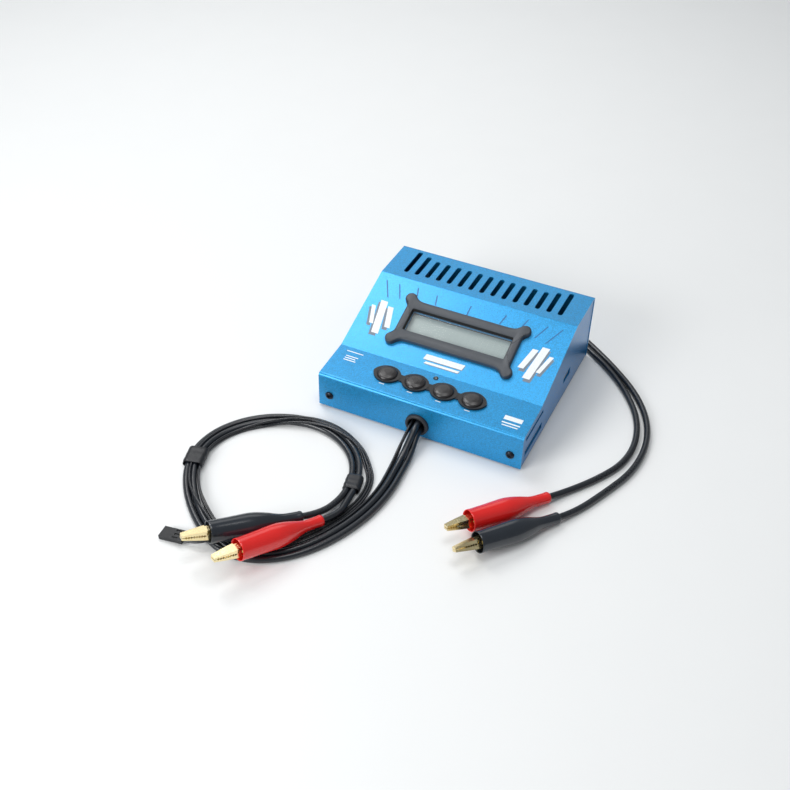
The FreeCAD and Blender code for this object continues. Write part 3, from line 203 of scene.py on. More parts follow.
def surface(name, colour, rough, metal=0.0, grain=0.08, scale=600.0, bump=0.1, spread=0.08, coat=0.0,
            patches=0.05, stretch=None):
    """A surface with fine grain, slow patches of tone, uneven gloss and a slight relief."""
    n = Nodes(name)
    place = n.stretched(*stretch) if stretch else None
    fine = n.noise(scale, 5.0, 0.6, place)
    slow = n.noise(28.0, 3.0)
    tone = n.math("ADD", n.math("MULTIPLY", fine, 0.6), n.math("MULTIPLY", slow, 0.4))
    colour_out = n.mix(n.spread(tone, 0.0, 1.0, 0.35, 0.65), shade(colour, 1 - grain - patches),
                       shade(colour, 1 + grain + patches))
    n.link(colour_out, n.shader.inputs["Base Color"])
    n.link(n.spread(tone, max(0.02, rough - spread), min(1.0, rough + spread)), n.shader.inputs["Roughness"])
    n.shader.inputs["Metallic"].default_value = metal
    n.shader.inputs["Coat Weight"].default_value = coat
    n.shader.inputs["Coat Roughness"].default_value = 0.15
    n.bump(fine, bump)
    return n.material


BLUE = (0.006, 0.28, 0.6)


def paint(name, colour):
    """Metallic paint: flakes of uneven brightness under a smooth clear coat."""
    n = Nodes(name)
    flakes = n.cells(2600.0)
    sparkle = n.spread(flakes.outputs["Color"], 0.0, 1.0, 0.15, 0.95)
    cloud = n.noise(900.0, 4.0, 0.65)
    slow = n.noise(22.0, 3.0)
    tone = n.math("ADD", n.math("MULTIPLY", sparkle, 0.45),
                  n.math("ADD", n.math("MULTIPLY", cloud, 0.4), n.math("MULTIPLY", slow, 0.15)))
    colour_out = n.mix(n.spread(tone, 0.0, 1.0, 0.25, 0.75), shade(colour, 0.72), shade(colour, 1.3))
    n.link(colour_out, n.shader.inputs["Base Color"])
    n.link(n.spread(tone, 0.3, 0.5), n.shader.inputs["Roughness"])
    n.shader.inputs["Metallic"].default_value = 0.55
    n.shader.inputs["Coat Weight"].default_value = 0.5
    n.shader.inputs["Coat Roughness"].default_value = 0.3
    n.bump(tone, 0.25, 0.00006)
    return n.material


def display_face():
    """Grey display glass with the faint grid of its two rows of character cells."""
    n = Nodes("display_grey")
    split = n.tree.nodes.new("ShaderNodeSeparateXYZ")
    n.link(n.place, split.inputs[0])

    def bars(value, pitch, offset, duty):
        shifted = n.math("ADD", value, offset)
        phase = n.math("FRACT", n.math("DIVIDE", shifted, pitch), 0.0)
        return n.math("LESS_THAN", phase, duty)

    along = n.math("DIVIDE", split.outputs["Y"], math.cos(SLOPE_ANGLE))
    columns = bars(split.outputs["X"], 0.00355, 1.0, 0.83)
    rows = bars(along, 0.0058, 1.0012, 0.86)
    dots = n.math("MULTIPLY", bars(split.outputs["X"], 0.00059, 1.0, 0.82),
                  bars(along, 0.00062, 1.0, 0.82))
    lit = n.math("MULTIPLY", n.math("MULTIPLY", columns, rows), dots)
    base = n.mix(n.noise(40.0, 3.0), (0.27, 0.345, 0.34), (0.32, 0.395, 0.385))
    n.link(n.mix(n.math("MULTIPLY", lit, 0.16), base, (0.2, 0.26, 0.25)), n.shader.inputs["Base Color"])
    n.link(n.spread(n.noise(300.0), 0.3, 0.42), n.shader.inputs["Roughness"])
    n.bump(n.noise(900.0), 0.03)
    return n.material


def clear_cover():
    n = Nodes("clear_cover")
    n.link(n.mix(n.noise(60.0), (0.92, 0.95, 0.95), (0.97, 0.98, 0.98)), n.shader.inputs["Base Color"])
    n.link(n.spread(n.noise(200.0), 0.03, 0.09), n.shader.inputs["Roughness"])
    n.shader.inputs["Alpha"].default_value = 0.05
    n.shader.inputs["Specular IOR Level"].default_value = 0.3
    n.bump(n.noise(500.0), 0.01)
    return n.material


MATERIALS = {
    "cover_paint": paint("cover_paint", BLUE),
    # The tray carries the same paint as the cover; its deeper blue here is painted shade for the sides that
    # sit in shade
    "tray_paint": paint("tray_paint", (0.01, 0.2, 0.5)),
    "print_white": surface("print_white", (0.82, 0.86, 0.88), 0.45, grain=0.05, scale=1500, bump=0.15),
    "print_grey": surface("print_grey", (0.16, 0.2, 0.25), 0.45, grain=0.08, scale=1500, bump=0.15),
    "print_navy": surface("print_navy", (0.008, 0.12, 0.33), 0.4, grain=0.08, scale=1500, bump=0.15),
    "black_screw": surface("black_screw", (0.02, 0.025, 0.035), 0.28, metal=0.7, scale=1800, bump=0.15),
    "black_rubber": surface("black_rubber", (0.022, 0.024, 0.028), 0.55, scale=1400, bump=0.35),
    "key_plastic": surface("key_plastic", (0.022, 0.02, 0.021), 0.3, scale=2200, bump=0.2, coat=0.1),
    "bezel_plastic": surface("bezel_plastic", (0.04, 0.048, 0.06), 0.4, scale=2400, bump=0.4),
    # Near black for the walls of the display opening and the display's metal frame: painted shade of the
    # recess
    "recess_painted_shade": surface("recess_painted_shade", (0.01, 0.011, 0.013), 0.4, scale=2400, bump=0.2),
    "clear_lens": clear_cover(),
    "display_glass": display_face(),
    "plated_steel": surface("plated_steel", (0.62, 0.61, 0.57), 0.3, metal=1.0, scale=1500, bump=0.1,
                            stretch=(1, 8, 1)),
    "gold_plate": surface("gold_plate", (0.93, 0.74, 0.42), 0.22, metal=1.0, scale=900, bump=0.12,
                          spread=0.1, patches=0.1),
    "board_green": surface("board_green", (0.02, 0.12, 0.06), 0.35, scale=500, bump=0.15, coat=0.3),
    "sleeve_black": surface("sleeve_black", (0.008, 0.009, 0.012), 0.45, scale=900, bump=0.5),
    "surround_black": surface("surround_black", (0.008, 0.009, 0.011), 0.45, scale=2000, bump=0.25),
    "chip_black": surface("chip_black", (0.02, 0.02, 0.022), 0.5, scale=2600, bump=0.3),
    "lamp_plastic": surface("lamp_plastic", (0.05, 0.07, 0.08), 0.14, scale=900, bump=0.05, coat=0.6),
    "sink_metal": surface("sink_metal", (0.78, 0.79, 0.8), 0.34, metal=1.0, scale=700, bump=0.2,
                          stretch=(1, 1, 12)),
    "socket_plastic": surface("socket_plastic", (0.8, 0.78, 0.7), 0.45, scale=1600, bump=0.2),
    "fuse_plastic": surface("fuse_plastic", (0.7, 0.16, 0.04), 0.3, scale=900, bump=0.1, coat=0.3),
    "choke_wire": surface("choke_wire", (0.6, 0.24, 0.1), 0.35, metal=0.8, scale=500, bump=0.6,
                          stretch=(3, 3, 0.3)),
    "can_sleeve": surface("can_sleeve", (0.03, 0.035, 0.08), 0.3, scale=900, bump=0.1, coat=0.3),
    "black_silicone": surface("black_silicone", (0.009, 0.012, 0.017), 0.3, scale=1200, bump=0.2, coat=0.2),
    "grey_wire": surface("grey_wire", (0.009, 0.011, 0.015), 0.28, scale=1600, bump=0.12, coat=0.2),
    "red_boot": surface("red_boot", (0.76, 0.012, 0.01), 0.24, grain=0.01, scale=180, bump=0.015, spread=0.02,
                        coat=0.4, patches=0.02),
    "black_boot": surface("black_boot", (0.011, 0.016, 0.024), 0.24, grain=0.02, scale=180, bump=0.015,
                          spread=0.02, coat=0.4),
}


# Nodes whose finish is darker than that of their slot: the display's metal frame takes the painted shade of
# the recess, the keypad surround and sensor connector their own darker black
OWN_FINISH = {"lcd_metal_frame": "recess_painted_shade", "keypad_surround": "surround_black",
              "sensor_connector": "surround_black"}


def finish_cad():
    """Gives every node of the CAD model its finish."""
    for entry in frame["record"]["subparts"]:
        obj = frame["nodes"][entry["node"]]
        material = MATERIALS[OWN_FINISH.get(entry["node"], entry["material_slot"])]
        if obj.data.materials:
            for i in range(len(obj.data.materials)):
                obj.data.materials[i] = material
        else:
            obj.data.materials.append(material)


def soften(node, width):
    obj = frame["nodes"][node]
    bevel = obj.modifiers.new("soft_edges", "BEVEL")
    bevel.width = width * MM
    bevel.segments = 2
    bevel.limit_method = "ANGLE"
    bevel.angle_limit = math.radians(35)


# ---------------------------------------------------------------------------------------------------
# Making pieces
# ---------------------------------------------------------------------------------------------------
def add_piece(name, bm, slot, place=None, body=BODY, stands_for=(), smooth=True, material=None, crease=32):
    """A mesh given in millimetres of its own frame, put in place and riding on a body."""
    if place is not None:
        bmesh.ops.transform(bm, matrix=place, verts=bm.verts)
    bmesh.ops.scale(bm, vec=(MM, MM, MM), verts=bm.verts)
    bmesh.ops.recalc_face_normals(bm, faces=bm.faces)
    mesh = bpy.data.meshes.new(name)
    bm.to_mesh(mesh)
    bm.free()
    mesh.materials.append(MATERIALS[material or slot])
    obj = bpy.data.objects.new(name, mesh)
    bpy.context.scene.collection.objects.link(obj)
    if smooth:
        mesh.shade_smooth()
        mesh.set_sharp_from_angle(angle=math.radians(crease))
    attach(obj, body)
    if stands_for:
        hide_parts(*stands_for)
    return obj


def lathe(profile, turns, axis="Z", squeeze=None):
    """A turned shape from (radius, height) points; squeeze(height, angle) scales the radius."""
    bm = bmesh.new()
    rings = []
    for radius, height in profile:
        if radius < 1e-6:
            rings.append([bm.verts.new((0, 0, height))])
            continue
        ring = []
        for i in range(turns):
            angle = 2 * math.pi * i / turns
            r = radius * (squeeze(height, angle) if squeeze else 1.0)
            ring.append(bm.verts.new((r * math.cos(angle), r * math.sin(angle), height)))
        rings.append(ring)
    for low, high in zip(rings, rings[1:]):
        for i in range(turns):
            j = (i + 1) % turns
            if len(low) == 1 and len(high) == 1:
                continue
            if len(low) == 1:
                bm.faces.new((low[0], high[i], high[j]))
            elif len(high) == 1:
                bm.faces.new((low[i], low[j], high[0]))
            else:
                bm.faces.new((low[i], low[j], high[j], high[i]))
    if axis == "X":
        bmesh.ops.transform(bm, matrix=Matrix.Rotation(math.pi / 2, 4, "Y"), verts=bm.verts)
    return bm


def smooth_line(points, steps):
    """Points of a smooth line through the given ones."""
    last = len(points) - 1
    result = []
    for i in range(last):
        p = [Vector(points[min(max(i + k, 0), last)]) for k in (-1, 0, 1, 2)]
        for step in range(steps):
            t = step / steps
            result.append(0.5 * ((2 * p[1]) + (p[2] - p[0]) * t
                                 + (2 * p[0] - 5 * p[1] + 4 * p[2] - p[3]) * t * t
                                 + (3 * p[1] - p[0] - 3 * p[2] + p[3]) * t ** 3))
    result.append(Vector(points[-1]))
    return result


def stack(loops, capped=False):
    """Skin between equal closed loops of points, with faces over its two ends where capped."""
    bm = bmesh.new()
    rings = [[bm.verts.new(point) for point in loop] for loop in loops]
    count = len(rings[0])
    for low, high in zip(rings, rings[1:]):
        for i in range(count):
            j = (i + 1) % count
            bm.faces.new((low[i], low[j], high[j], high[i]))
    if capped:
        bm.faces.new(reversed(rings[0]))
        bm.faces.new(rings[-1])
    return bm


# ---------------------------------------------------------------------------------------------------
# Cords
# ---------------------------------------------------------------------------------------------------
# Way of the output bundle, as (x, y) on the surface: out of the front, round the loop on the left
LOOP_WAY = [(0, -50.65), (0, -64.0), (0.2, -72.0), (0.8, -81.5), (1.8, -93.5), (2.8, -107.5), (1.8, -122.5),
            (-1.8, -138.0), (-8.0, -153.5), (-16.5, -167.5), (-27.5, -178.5), (-41.0, -185.0),
            (-55.5, -184.5), (-68.5, -177.0), (-81.0, -167.5), (-92.0, -156.0), (-100.5, -142.5),
            (-104.5, -127.5), (-102.5, -112.5), (-95.0, -99.5), (-84.0, -89.5), (-70.5, -83.0),
            (-56.0, -80.5), (-42.0, -83.0), (-29.5, -90.5), (-20.5, -101.5), (-15.8, -114.5),
            (-14.7, -127.8)]
# Second way of the sensor wires: down inside the first turn, under the boots, over the bundle and out
INNER_WAY = [(-6.8, -105.5), (-4.9, -121.5), (-8.3, -135.9), (-14.1, -150.5), (-21.9, -163.3),
             (-31.5, -172.9), (-42.5, -178.1), (-52.6, -181.2), (-60.4, -185.0)]
# Place of each wire beside its way (outward) and its height, at each point of the way
LANES = {
    "output_lead_plus": [(2.2, 7.75), (2.2, 7.75), (3.2, 4.4), (4.1, 2.1)] + [(4.1, 1.95)] * 11
    + [(4.1, 2.3)] + [(4.1, 2.55)] * 2 + [(4.1, 1.95)] * 7 + [(4.1, 2.5), (4.1, 2.6), (4.1, 3.2)],
    "output_lead_minus": [(1.2, 12.4), (1.2, 12.4), (1.0, 8.6), (0.6, 4.2)] + [(0.15, 1.95)] * 11
    + [(0.15, 2.3)] + [(0.15, 2.55)] * 2 + [(0.15, 1.95)] * 7 + [(0.15, 2.5), (0.15, 2.6), (0.15, 2.9)],
    "sensor_wire_1": [(-3.2, 7.9), (-3.2, 7.9), (-3.7, 4.2), (-4.3, 1.3), (-4.0, 0.75)]
    + [(-3.8, 0.75)] * 7 + [(-4.2, 0.75), (-5.4, 0.8), (-4.6, 0.8), (-2.85, 1.8), (-2.75, 1.85),
                            (-2.75, 1.75), (-3.0, 1.0), (-3.0, 0.8), (-3.0, 1.0), (-2.4, 3.8), (-0.3, 5.0),
                            (2.6, 5.2), (6.45, 4.1), (7.4, 0.8)] + [(-1.6, 0.75)] * 6
    + [(-1.6, 2.6), (-1.6, 4.7), (-1.8, 5.3)],
    "sensor_wire_2": [(-3.4, 10.0), (-3.4, 10.0), (-3.3, 6.2), (-3.0, 2.6), (-2.4, 0.8)]
    + [(-2.35, 0.75)] * 7 + [(-2.5, 0.75), (-2.5, 3.3), (-0.4, 5.0), (2.1, 4.5), (2.1, 4.35), (2.1, 4.35),
                             (2.1, 3.8), (2.1, 3.8), (2.1, 3.8), (2.3, 4.1), (3.9, 4.9), (6.4, 3.9),
                             (9.3, 1.0), (10.7, 0.8)] + [(1.6, 0.75)] * 6
    + [(1.6, 2.6), (1.6, 4.7), (1.8, 5.3)],
    "sensor_wire_3": [(-2.6, 12.1), (-2.6, 12.1), (-2.9, 8.2), (-3.6, 4.1), (-3.2, 2.15)]
    + [(-3.1, 2.1)] * 7 + [(-3.9, 2.2), (-4.1, 2.2), (-3.1, 2.4), (-2.95, 3.35), (-2.9, 3.35), (-2.9, 3.3),
                           (-2.8, 2.45), (-2.7, 2.35), (-2.2, 3.9), (-0.1, 5.0), (1.9, 4.95), (4.3, 5.0),
                           (7.6, 2.9), (9.0, 0.8)] + [(0, 0.75)] * 6
    + [(0, 2.6), (0, 4.7), (0, 5.3)],
}
# Length over which a power lead runs straight into its boot
LEAD_BACK = 11.5
INPUT_WAYS = {
    "input_lead_minus": [(22.0, 50.65, 9.6), (22.0, 66.0, 9.6), (28.0, 76.5, 8.8), (39.5, 80.5, 6.0),
                         (53.0, 76.0, 3.4), (69.0, 66.2, 2.0), (87.5, 51.5, 1.95), (105.5, 34.0, 1.95),
                         (118.5, 13.5, 1.95), (124.5, -9.5, 1.95), (123.0, -34.0, 1.95),
                         (114.5, -56.0, 2.0)],
    "input_lead_plus": [(26.0, 50.65, 9.6), (26.0, 65.0, 9.6), (31.0, 73.0, 8.4), (40.5, 76.0, 5.8),
                       (52.5, 71.8, 3.2), (67.0, 62.8, 2.0), (83.5, 49.8, 1.95), (99.0, 33.5, 1.95),
                       (112.0, 13.5, 1.95), (118.0, -8.5, 1.95), (116.5, -29.5, 1.95),
                       (107.0, -48.5, 2.0)],
}
# Wire end of each clip's boot, with the way it points: heading, rise and roll in degrees.
# The red clips' x and y come from a fit to the photograph, and the rest was set one by one.
CLIPS = {
    "output_red": ((-14.9, -149.3, 5.7), -117.5, 11.0, 4.0),
    "output_black": ((-25.9, -151.6, 5.7), -129.5, 11.0, 8.0),
    "input_red": ((87.3, -76.2, 3.5), -126.0, 7.0, 16.0),
    "input_black": ((97.3, -88.5, 3.5), -126.0, 7.0, 34.0),
}
# Rear end of the sensor connector, with its heading and rise
CONNECTOR = ((-74.5, -190.2, 2.9), -176.0, -6.0)


def clip_place(name):
    """The place of a clip, whose own X axis runs from its boot's wire end to its jaw tips."""
    spot, heading, rise, roll = CLIPS[name]
    return (Matrix.Translation(spot) @ Matrix.Rotation(math.radians(heading), 4, "Z")
            @ Matrix.Rotation(math.radians(-rise), 4, "Y") @ Matrix.Rotation(math.radians(roll), 4, "X"))


def connector_place():
    """The place of the sensor connector, whose own X axis runs from its wire end to its mouth."""
    spot, heading, rise = CONNECTOR
    return (Matrix.Translation(spot) @ Matrix.Rotation(math.radians(heading), 4, "Z")
            @ Matrix.Rotation(math.radians(-rise), 4, "Y"))


def beside(way, i, side):
    """The point beside one point of a way, and the heading of the way there."""
    before, after = way[max(i - 1, 0)], way[min(i + 1, len(way) - 1)]
    heading = math.atan2(after[1] - before[1], after[0] - before[0])
    x, y = way[i]
    return x - side * math.sin(heading), y + side * math.cos(heading), heading


def bundle_route(label):
    """The points of one wire of the output bundle, up to its free end."""
    lanes = LANES[label]
    way = LOOP_WAY if len(lanes) == len(LOOP_WAY) else LOOP_WAY[:26] + INNER_WAY
    return [Vector((*beside(way, i, side)[:2], height)) for i, (side, height) in enumerate(lanes)]


def add_cord(label, points, diameter, slot):
    data = bpy.data.curves.new(label + "_curve", "CURVE")
    data.dimensions = "3D"
    data.bevel_depth = diameter * MM / 2
    data.bevel_resolution = 6
    data.resolution_u = 12
    data.use_fill_caps = True
    spline = data.splines.new("NURBS")
    spline.points.add(len(points) - 1)
    for point, spot in zip(spline.points, points):
        point.co = (*(Vector(spot) * MM), 1)
    spline.order_u = 3
    spline.use_endpoint_u = True
    data.materials.append(MATERIALS[slot])
    cord = bpy.data.objects.new(label + "_cord", data)
    bpy.context.scene.collection.objects.link(cord)
    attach(cord, BODY)
    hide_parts(label)


def add_cords():
    for colour, pole in (("red", "plus"), ("black", "minus")):
        for kind in ("output", "input"):
            label, clip = kind + "_lead_" + pole, kind + "_" + colour
            place = clip_place(clip)
            route = [Vector(point) for point in INPUT_WAYS.get(label, [])] or bundle_route(label)
            route += [place @ Vector((-LEAD_BACK, 0, 0)), place.translation]
            add_cord(label, route, POWER_WIRE,
                     "black_silicone")
    place = connector_place()
    for i, side in ((1, -2.0), (2, 2.0), (3, 0.0)):
        label = "sensor_wire_%d" % i
        route = bundle_route(label)
        route += [place @ Vector((-7.5, side, 0)), place @ Vector((0, side, 0))]
        add_cord(label, route, SENSOR_WIRE,
                 "grey_wire")


# ---------------------------------------------------------------------------------------------------
# Boots of the clips
# ---------------------------------------------------------------------------------------------------
BOOT_LINE = [(2.15, -0.3), (2.6, -0.34), (3.0, -0.1), (3.2, 0.4), (3.24, 1.3), (3.1, 2.0), (3.08, 5.0),
             (3.1, 8.5), (3.22, 10.5), (3.6, 12.8), (4.25, 15.3), (4.98, 18.0), (5.65, 21.0), (6.2, 24.0),
             (6.53, 26.5), (6.68, 29.0), (6.66, 31.5), (6.52, 35.0), (6.36, 39.0), (6.24, 43.0), (6.17, 47.0),
             (6.13, 50.2), (6.2, 50.9), (6.2, 51.6), (6.08, 51.94), (5.88, 52.0), (5.66, 51.8), (5.54, 51.2),
             (5.52, 46.0), (5.62, 38.0), (5.72, 30.0), (4.9, 21.0), (3.3, 15.0), (2.6, 10.0), (2.15, 5.0),
             (2.15, -0.3)]


def add_boot(clip, slot, seed):
    """Skin of a clip's boot, a little out of round towards its mouth."""
    rng = random.Random(seed)
    lean = rng.uniform(0, 6.28)

    def squeeze(height, angle):
        grown = max(0.0, (height - 18) / 34)
        wave = 0.012 * math.cos(2 * (angle - lean)) + 0.006 * math.sin(3 * angle + height * 0.11)
        return 1 + (wave - 0.012) * grown

    bm = lathe(BOOT_LINE, 72, "X", squeeze)
    return add_piece(clip + "_boot_skin", bm, slot, clip_place(clip), stands_for=(clip + "_boot",), crease=50)


# ---------------------------------------------------------------------------------------------------
# Case, keys and display
# ---------------------------------------------------------------------------------------------------
def add_key(i, x):
    """Domed key with a soft shoulder; the crown is 3.3 above the panel."""
    line = [(6.0, -1.2), (6.0, 1.2), (5.96, 1.7), (5.8, 2.1), (5.5, 2.42), (5.0, 2.68), (4.2, 2.9),
            (3.2, 3.08), (2.0, 3.2), (1.0, 3.27), (0.0, 3.3)]
    bm = lathe(line, 64)
    place = PANEL @ Matrix.Translation((x, KEY_LINE, 0))
    add_piece("key_%d" % i, bm, "key_plastic", place, body="button_%d" % i, crease=60)


def strip(name, outline, top, place, material):
    """A thin printed shape: a closed outline raised a hair above the paint."""
    lower = [(x, y, PRINT_BASE) for x, y in outline]
    upper = [(x, y, top) for x, y in outline]
    bm = stack([lower, upper], capped=True)
    add_piece(name, bm, "cover_paint", place, smooth=False, material=material)


def slanted(x, low, high, width, lean):
    """The corners of a leaning bar."""
    half = width / 2
    return [(x - half, low), (x + half, low), (x + lean + half, high), (x + lean - half, high)]


def add_prints():
    """Plain printed shapes: bars beside the display, strokes above it, stripes below, rows and marks."""
    for side, hand in ((-1, "left"), (1, "right")):
        for k, (x, low, high, width) in enumerate(((43.6, 20.5, 35.5, 3.6), (49.2, 14.5, 38.5, 4.6),
                                                   (54.4, 20.5, 33.5, 2.6))):
            for layer, (shift, colour) in enumerate(((0.0, "print_white"), (1.3, "print_grey"))):
                shape = slanted(side * (x + shift * 0.8), low - shift * 1.6, high - shift * 1.2, width,
                                side * 4.0)
                height = 0.045 if layer == 0 else 0.028
                strip("bar_%s_%d_%d" % (hand, k, layer), shape, height, SLOPE, colour)
    for k, (x, low, high, lean) in enumerate(((-52.5, 43.0, 54.0, -4.5), (-45.0, 44.5, 53.5, -3.4),
                                              (-35.5, 50.0, 54.5, -1.3), (-22.0, 47.0, 53.0, -1.2),
                                              (-0.8, 46.5, 52.5, 0.0), (20.5, 47.0, 53.0, 1.2),
                                              (34.0, 50.0, 54.5, 1.3), (44.0, 44.5, 53.5, 3.4),
                                              (51.5, 43.0, 54.0, 4.5))):
        shape = slanted(x, low - 1.5, high, 0.9, lean * 1.4)
        strip("stroke_%d" % k, shape, 0.03, SLOPE, "print_navy")
    for k, (x, low, high, width) in enumerate(((-0.8, 7.2, 11.0, 25.0), (-0.8, 4.4, 5.9, 22.0))):
        shape = slanted(x, low, high, width, 0.9)
        strip("stripe_shadow_%d" % k, [(a + 0.4, b - 0.5) for a, b in shape], 0.028, SLOPE, "print_grey")
        strip("stripe_%d" % k, shape, 0.045, SLOPE, "print_white")
    rows = [(-59.0, 25.2, 11.0, 0.7), (-57.5, 21.0, 8.0, 0.7), (-57.5, 19.2, 7.0, 0.7),
            (-57.5, 17.4, 8.0, 0.7), (54.0, 10.5, 11.0, 3.4), (54.0, 7.6, 11.0, 1.0),
            (54.0, 5.6, 9.5, 0.8)]
    for k, (x, low, width, height) in enumerate(rows):
        start = x if x < 0 else x - width / 2
        shape = [(start, low), (start + width, low), (start + width, low + height), (start, low + height)]
        strip("row_%d" % k, shape, 0.04, PANEL, "print_white")
    for k, x in enumerate(KEY_X):
        shape = [(x - 1.7, 7.4), (x + 1.7, 7.4), (x + 1.7, 7.95), (x - 1.7, 7.95)]
        strip("key_mark_%d" % k, shape, 0.04, PANEL, "print_white")


def rounded_box(half_x, half_y, radius, count, split):
    """A quarter of a rounded rectangle, from its side middle to its end middle, split at the corner."""
    side = [(half_x, (half_y - radius) * i / split) for i in range(split)]
    turn = []
    end = []
    rest = count - split
    for i in range(rest):
        t = i / rest
        if t < 0.25:
            angle = t / 0.25 * math.pi / 2
            turn.append((half_x - radius + radius * math.cos(angle),
                         half_y - radius + radius * math.sin(angle)))
        else:
            end.append(((half_x - radius) * (1 - (t - 0.25) / 0.75), half_y))
    return side + turn + end


def four_quarters(quarter):
    """A closed outline from the quarter that runs from (x, 0) to just before (0, y)."""
    last = (0.0, quarter[-1][1])
    first = quarter + [last]
    second = [(-x, y) for x, y in reversed(first[1:-1])]
    half = first + second + [(-first[0][0], 0.0)]
    lower = [(x, -y) for x, y in reversed(half[1:-1])]
    return half + lower


def bezel_outline(inset=0.0):
    """A quarter of the bezel: straight sides that flare into a round ear at the corner."""
    points = [(37.7, -6.0), (37.7, 0.0), (37.7, 5.5), (37.75, 9.3), (38.6, 11.6), (40.4, 13.2), (41.15, 15.4),
              (40.3, 17.9), (38.0, 19.15), (35.4, 18.6), (33.8, 16.9), (31.6, 15.3), (27.5, 14.65),
              (14.0, 14.6), (0.0, 14.6), (-14.0, 14.6)]
    line = smooth_line([(x, y, 0) for x, y in points], 6)
    quarter = line[6:-6]
    result = []
    for i, p in enumerate(quarter):
        before, after = line[i + 5], line[i + 7]
        way = (after - before).normalized()
        result.append((p.x - way.y * inset, p.y + way.x * inset))
    return result[:-1]


def add_bezel():
    outer = bezel_outline()
    count = len(outer)
    corner = 42

    def loop(quarter, height):
        return [(x, y + DISPLAY, height) for x, y in four_quarters(quarter)]

    inner = [rounded_box(hx, hy, r, count, corner) for hx, hy, r in
             ((33.4, 8.5, 0.9), (33.1, 8.2, 0.8), (32.3, 7.45, 0.6), (32.25, 7.4, 0.6), (33.35, 8.55, 0.6),
              (33.35, 8.55, 0.6))]
    loops = [loop(outer, 0.02), loop(outer, 1.9), loop(bezel_outline(0.12), 2.35),
             loop(bezel_outline(0.35), 2.7), loop(bezel_outline(0.7), 2.9), loop(bezel_outline(1.1), 3.0),
             loop(inner[0], 3.0), loop(inner[1], 2.88), loop(inner[2], 1.3), loop(inner[3], 1.12),
             loop(inner[4], 1.12), loop(inner[5], 0.02), loop(outer, 0.02)]
    bm = stack(loops)
    bmesh.ops.remove_doubles(bm, verts=bm.verts, dist=0.0005)
    # Walls inside the opening take the near-black painted shade of the recess
    for face in bm.faces:
        middle = face.calc_center_median()
        inside = abs(middle.x) < 33.2 and abs(middle.y - DISPLAY) < 8.3
        face.material_index = 1 if inside and middle.z < 2.9 else 0
    piece = add_piece("bezel_skin", bm, "bezel_plastic", SLOPE, stands_for=("lcd_bezel",), crease=28)
    piece.data.materials.append(MATERIALS["recess_painted_shade"])


def add_grommet(name, y, x, facing):
    """A round rubber grommet with a rolled rim."""
    line = [(5.0, -2.6), (5.0, 1.0), (5.15, 1.7), (5.6, 2.12), (6.2, 2.2), (6.75, 2.0), (7.12, 1.5),
            (7.25, 0.9), (7.25, 0.1), (6.2, 0.1), (6.2, -1.3), (7.0, -1.3), (7.0, -2.6), (5.0, -2.6)]
    place = (Matrix.Translation((x, y, GROMMET_LEVEL))
             @ Matrix.Rotation(math.radians(90 * facing), 4, "X"))
    add_piece(name + "_skin", lathe(line, 72), "black_rubber", place, stands_for=(name,), crease=50)


def add_screws():
    """Domed cover screws with a cross recess and a short shank."""
    steps, rim, roundness = 22, 22.6, 2.6
    crown = [(SCREW_HEAD * i / steps, SCREW_DOME * math.sqrt(max(0.0, 1 - (i / rim) ** roundness)))
             for i in range(steps, -1, -1)]
    line = [(0, -SCREW_LENGTH), (SCREW_CORE, -SCREW_LENGTH), (SCREW_CORE, 0.0), (SCREW_HEAD, 0.0)] + crown
    recess_half, recess_reach, recess_depth = 0.3, 1.35, 0.75
    whole = bmesh.new()
    for x, side, turn in ((-SCREW_X, -1, 20), (SCREW_X, -1, 65), (-SCREW_X, 1, 10), (SCREW_X, 1, 40)):
        bm = lathe(line, 96)
        for vert in bm.verts:
            near, far = sorted((abs(vert.co.x), abs(vert.co.y)))
            if vert.co.z > 0.3 and near < recess_half and far < recess_reach:
                vert.co.z -= recess_depth
        place = (Matrix.Translation((x, side * REAR, SCREW_LEVEL))
                 @ Matrix.Rotation(math.radians(-90 * side), 4, "X")
                 @ Matrix.Rotation(math.radians(turn), 4, "Z"))
        bmesh.ops.transform(bm, matrix=place, verts=bm.verts)
        part = bpy.data.meshes.new("screw")
        bm.to_mesh(part)
        bm.free()
        whole.from_mesh(part)
    add_piece("screw_skin", whole, "black_screw", stands_for=("cover_screws",), crease=40)


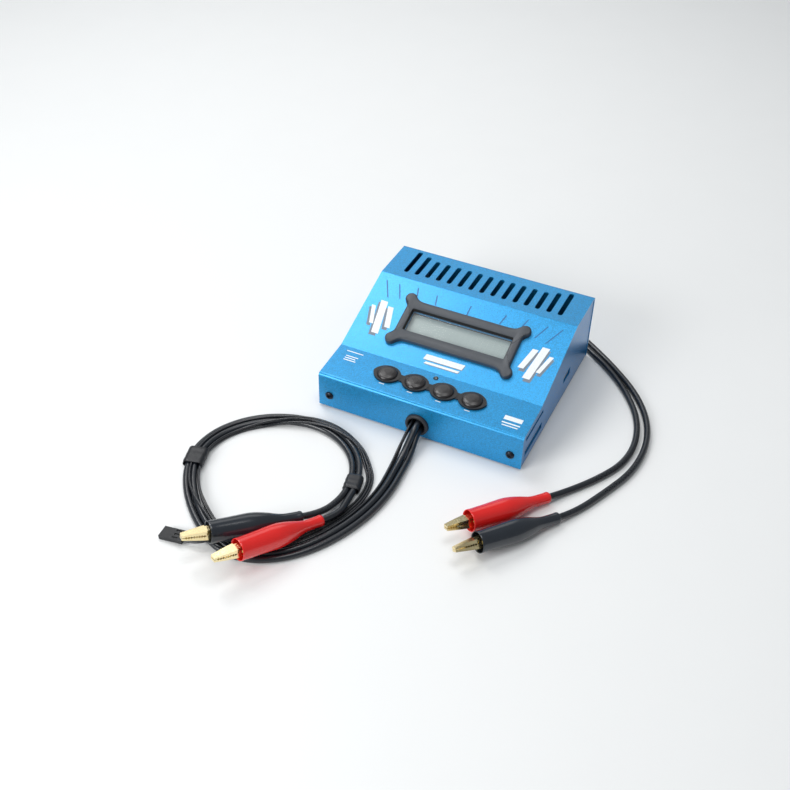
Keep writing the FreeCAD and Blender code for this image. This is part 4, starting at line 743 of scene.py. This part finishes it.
def add_sleeves():
    """Soft sleeves round the bundle, a little wrinkled and drawn in at both ends."""
    (x0, y0, _), (x1, y1, _) = beside(LOOP_WAY, 16, 1.3), beside(LOOP_WAY, 17, 1.3)
    x2, y2, heading_2 = beside(LOOP_WAY, 26, 1.9)
    spots = [(((x0 + x1) / 2, (y0 + y1) / 2), math.atan2(y1 - y0, x1 - x0), 12.2, 5.75, 13.0),
             ((x2, y2), heading_2, 10.2, 5.4, 11.0)]
    for k, ((x, y), heading, width, top, length) in enumerate(spots):
        rng = random.Random(11 + k)
        phase = [rng.uniform(0, 6.28) for _ in range(4)]
        around = 64
        outer, inner = [], []
        steps = 22
        for s in range(steps + 1):
            t = s / steps
            along = (t - 0.5) * length
            ends = min(t, 1 - t)
            draw = 0.0 if ends > 0.12 else 0.28 * (1 - ends / 0.12) ** 2
            ring, hollow = [], []
            for i in range(around):
                angle = 2 * math.pi * i / around
                wave = (0.07 * math.sin(9 * t * 2 + 2 * angle + phase[0])
                        + 0.05 * math.sin(21 * t + 3 * angle + phase[1]))
                height = top - 0.05
                straight = (width - height) / 2
                for radius, target in ((height / 2 - draw - 0.12 + wave, ring),
                                       (height / 2 - 0.62, hollow)):
                    across = radius * math.cos(angle) + math.copysign(straight, math.cos(angle))
                    up = radius * math.sin(angle) + height / 2 + 0.05
                    target.append((along, across, max(up, 0.05)))
            outer.append(ring)
            inner.append(hollow)
        bm = stack(outer + inner[::-1] + [outer[0]])
        bmesh.ops.remove_doubles(bm, verts=bm.verts, dist=0.0005)
        place = Matrix.Translation((x, y, 0)) @ Matrix.Rotation(heading, 4, "Z")
        add_piece("sleeve_%d" % k, bm, "black_rubber", place, material="sleeve_black",
                  stands_for=("lead_sleeves",) if k == 0 else (), crease=50)


def add_soft_edges():
    for node, width in (("top_cover", 0.35), ("base_tray", 0.3), ("keypad_surround", 0.2),
                        ("sensor_connector", 0.2), ("sensor_socket", 0.15), ("balance_socket", 0.15),
                        ("rubber_feet", 0.3)):
        soften(node, width)
    for clip in CLIPS:
        soften(clip + "_lower_jaw", 0.12)
        soften(clip + "_upper_jaw", 0.12)


add_camera()
for seed, clip in enumerate(CLIPS):
    boot = add_boot(clip, "red_boot" if "red" in clip else "black_boot", seed + 3)
add_cords()
finish_cad()
for number, x in enumerate(KEY_X, 1):
    add_key(number, x)
add_bezel()
add_grommet("output_grommet", FRONT, 0, 1)
add_grommet("input_grommet", REAR, INPUT_X, -1)
add_screws()
add_sleeves()
add_prints()
add_soft_edges()
add_studio()
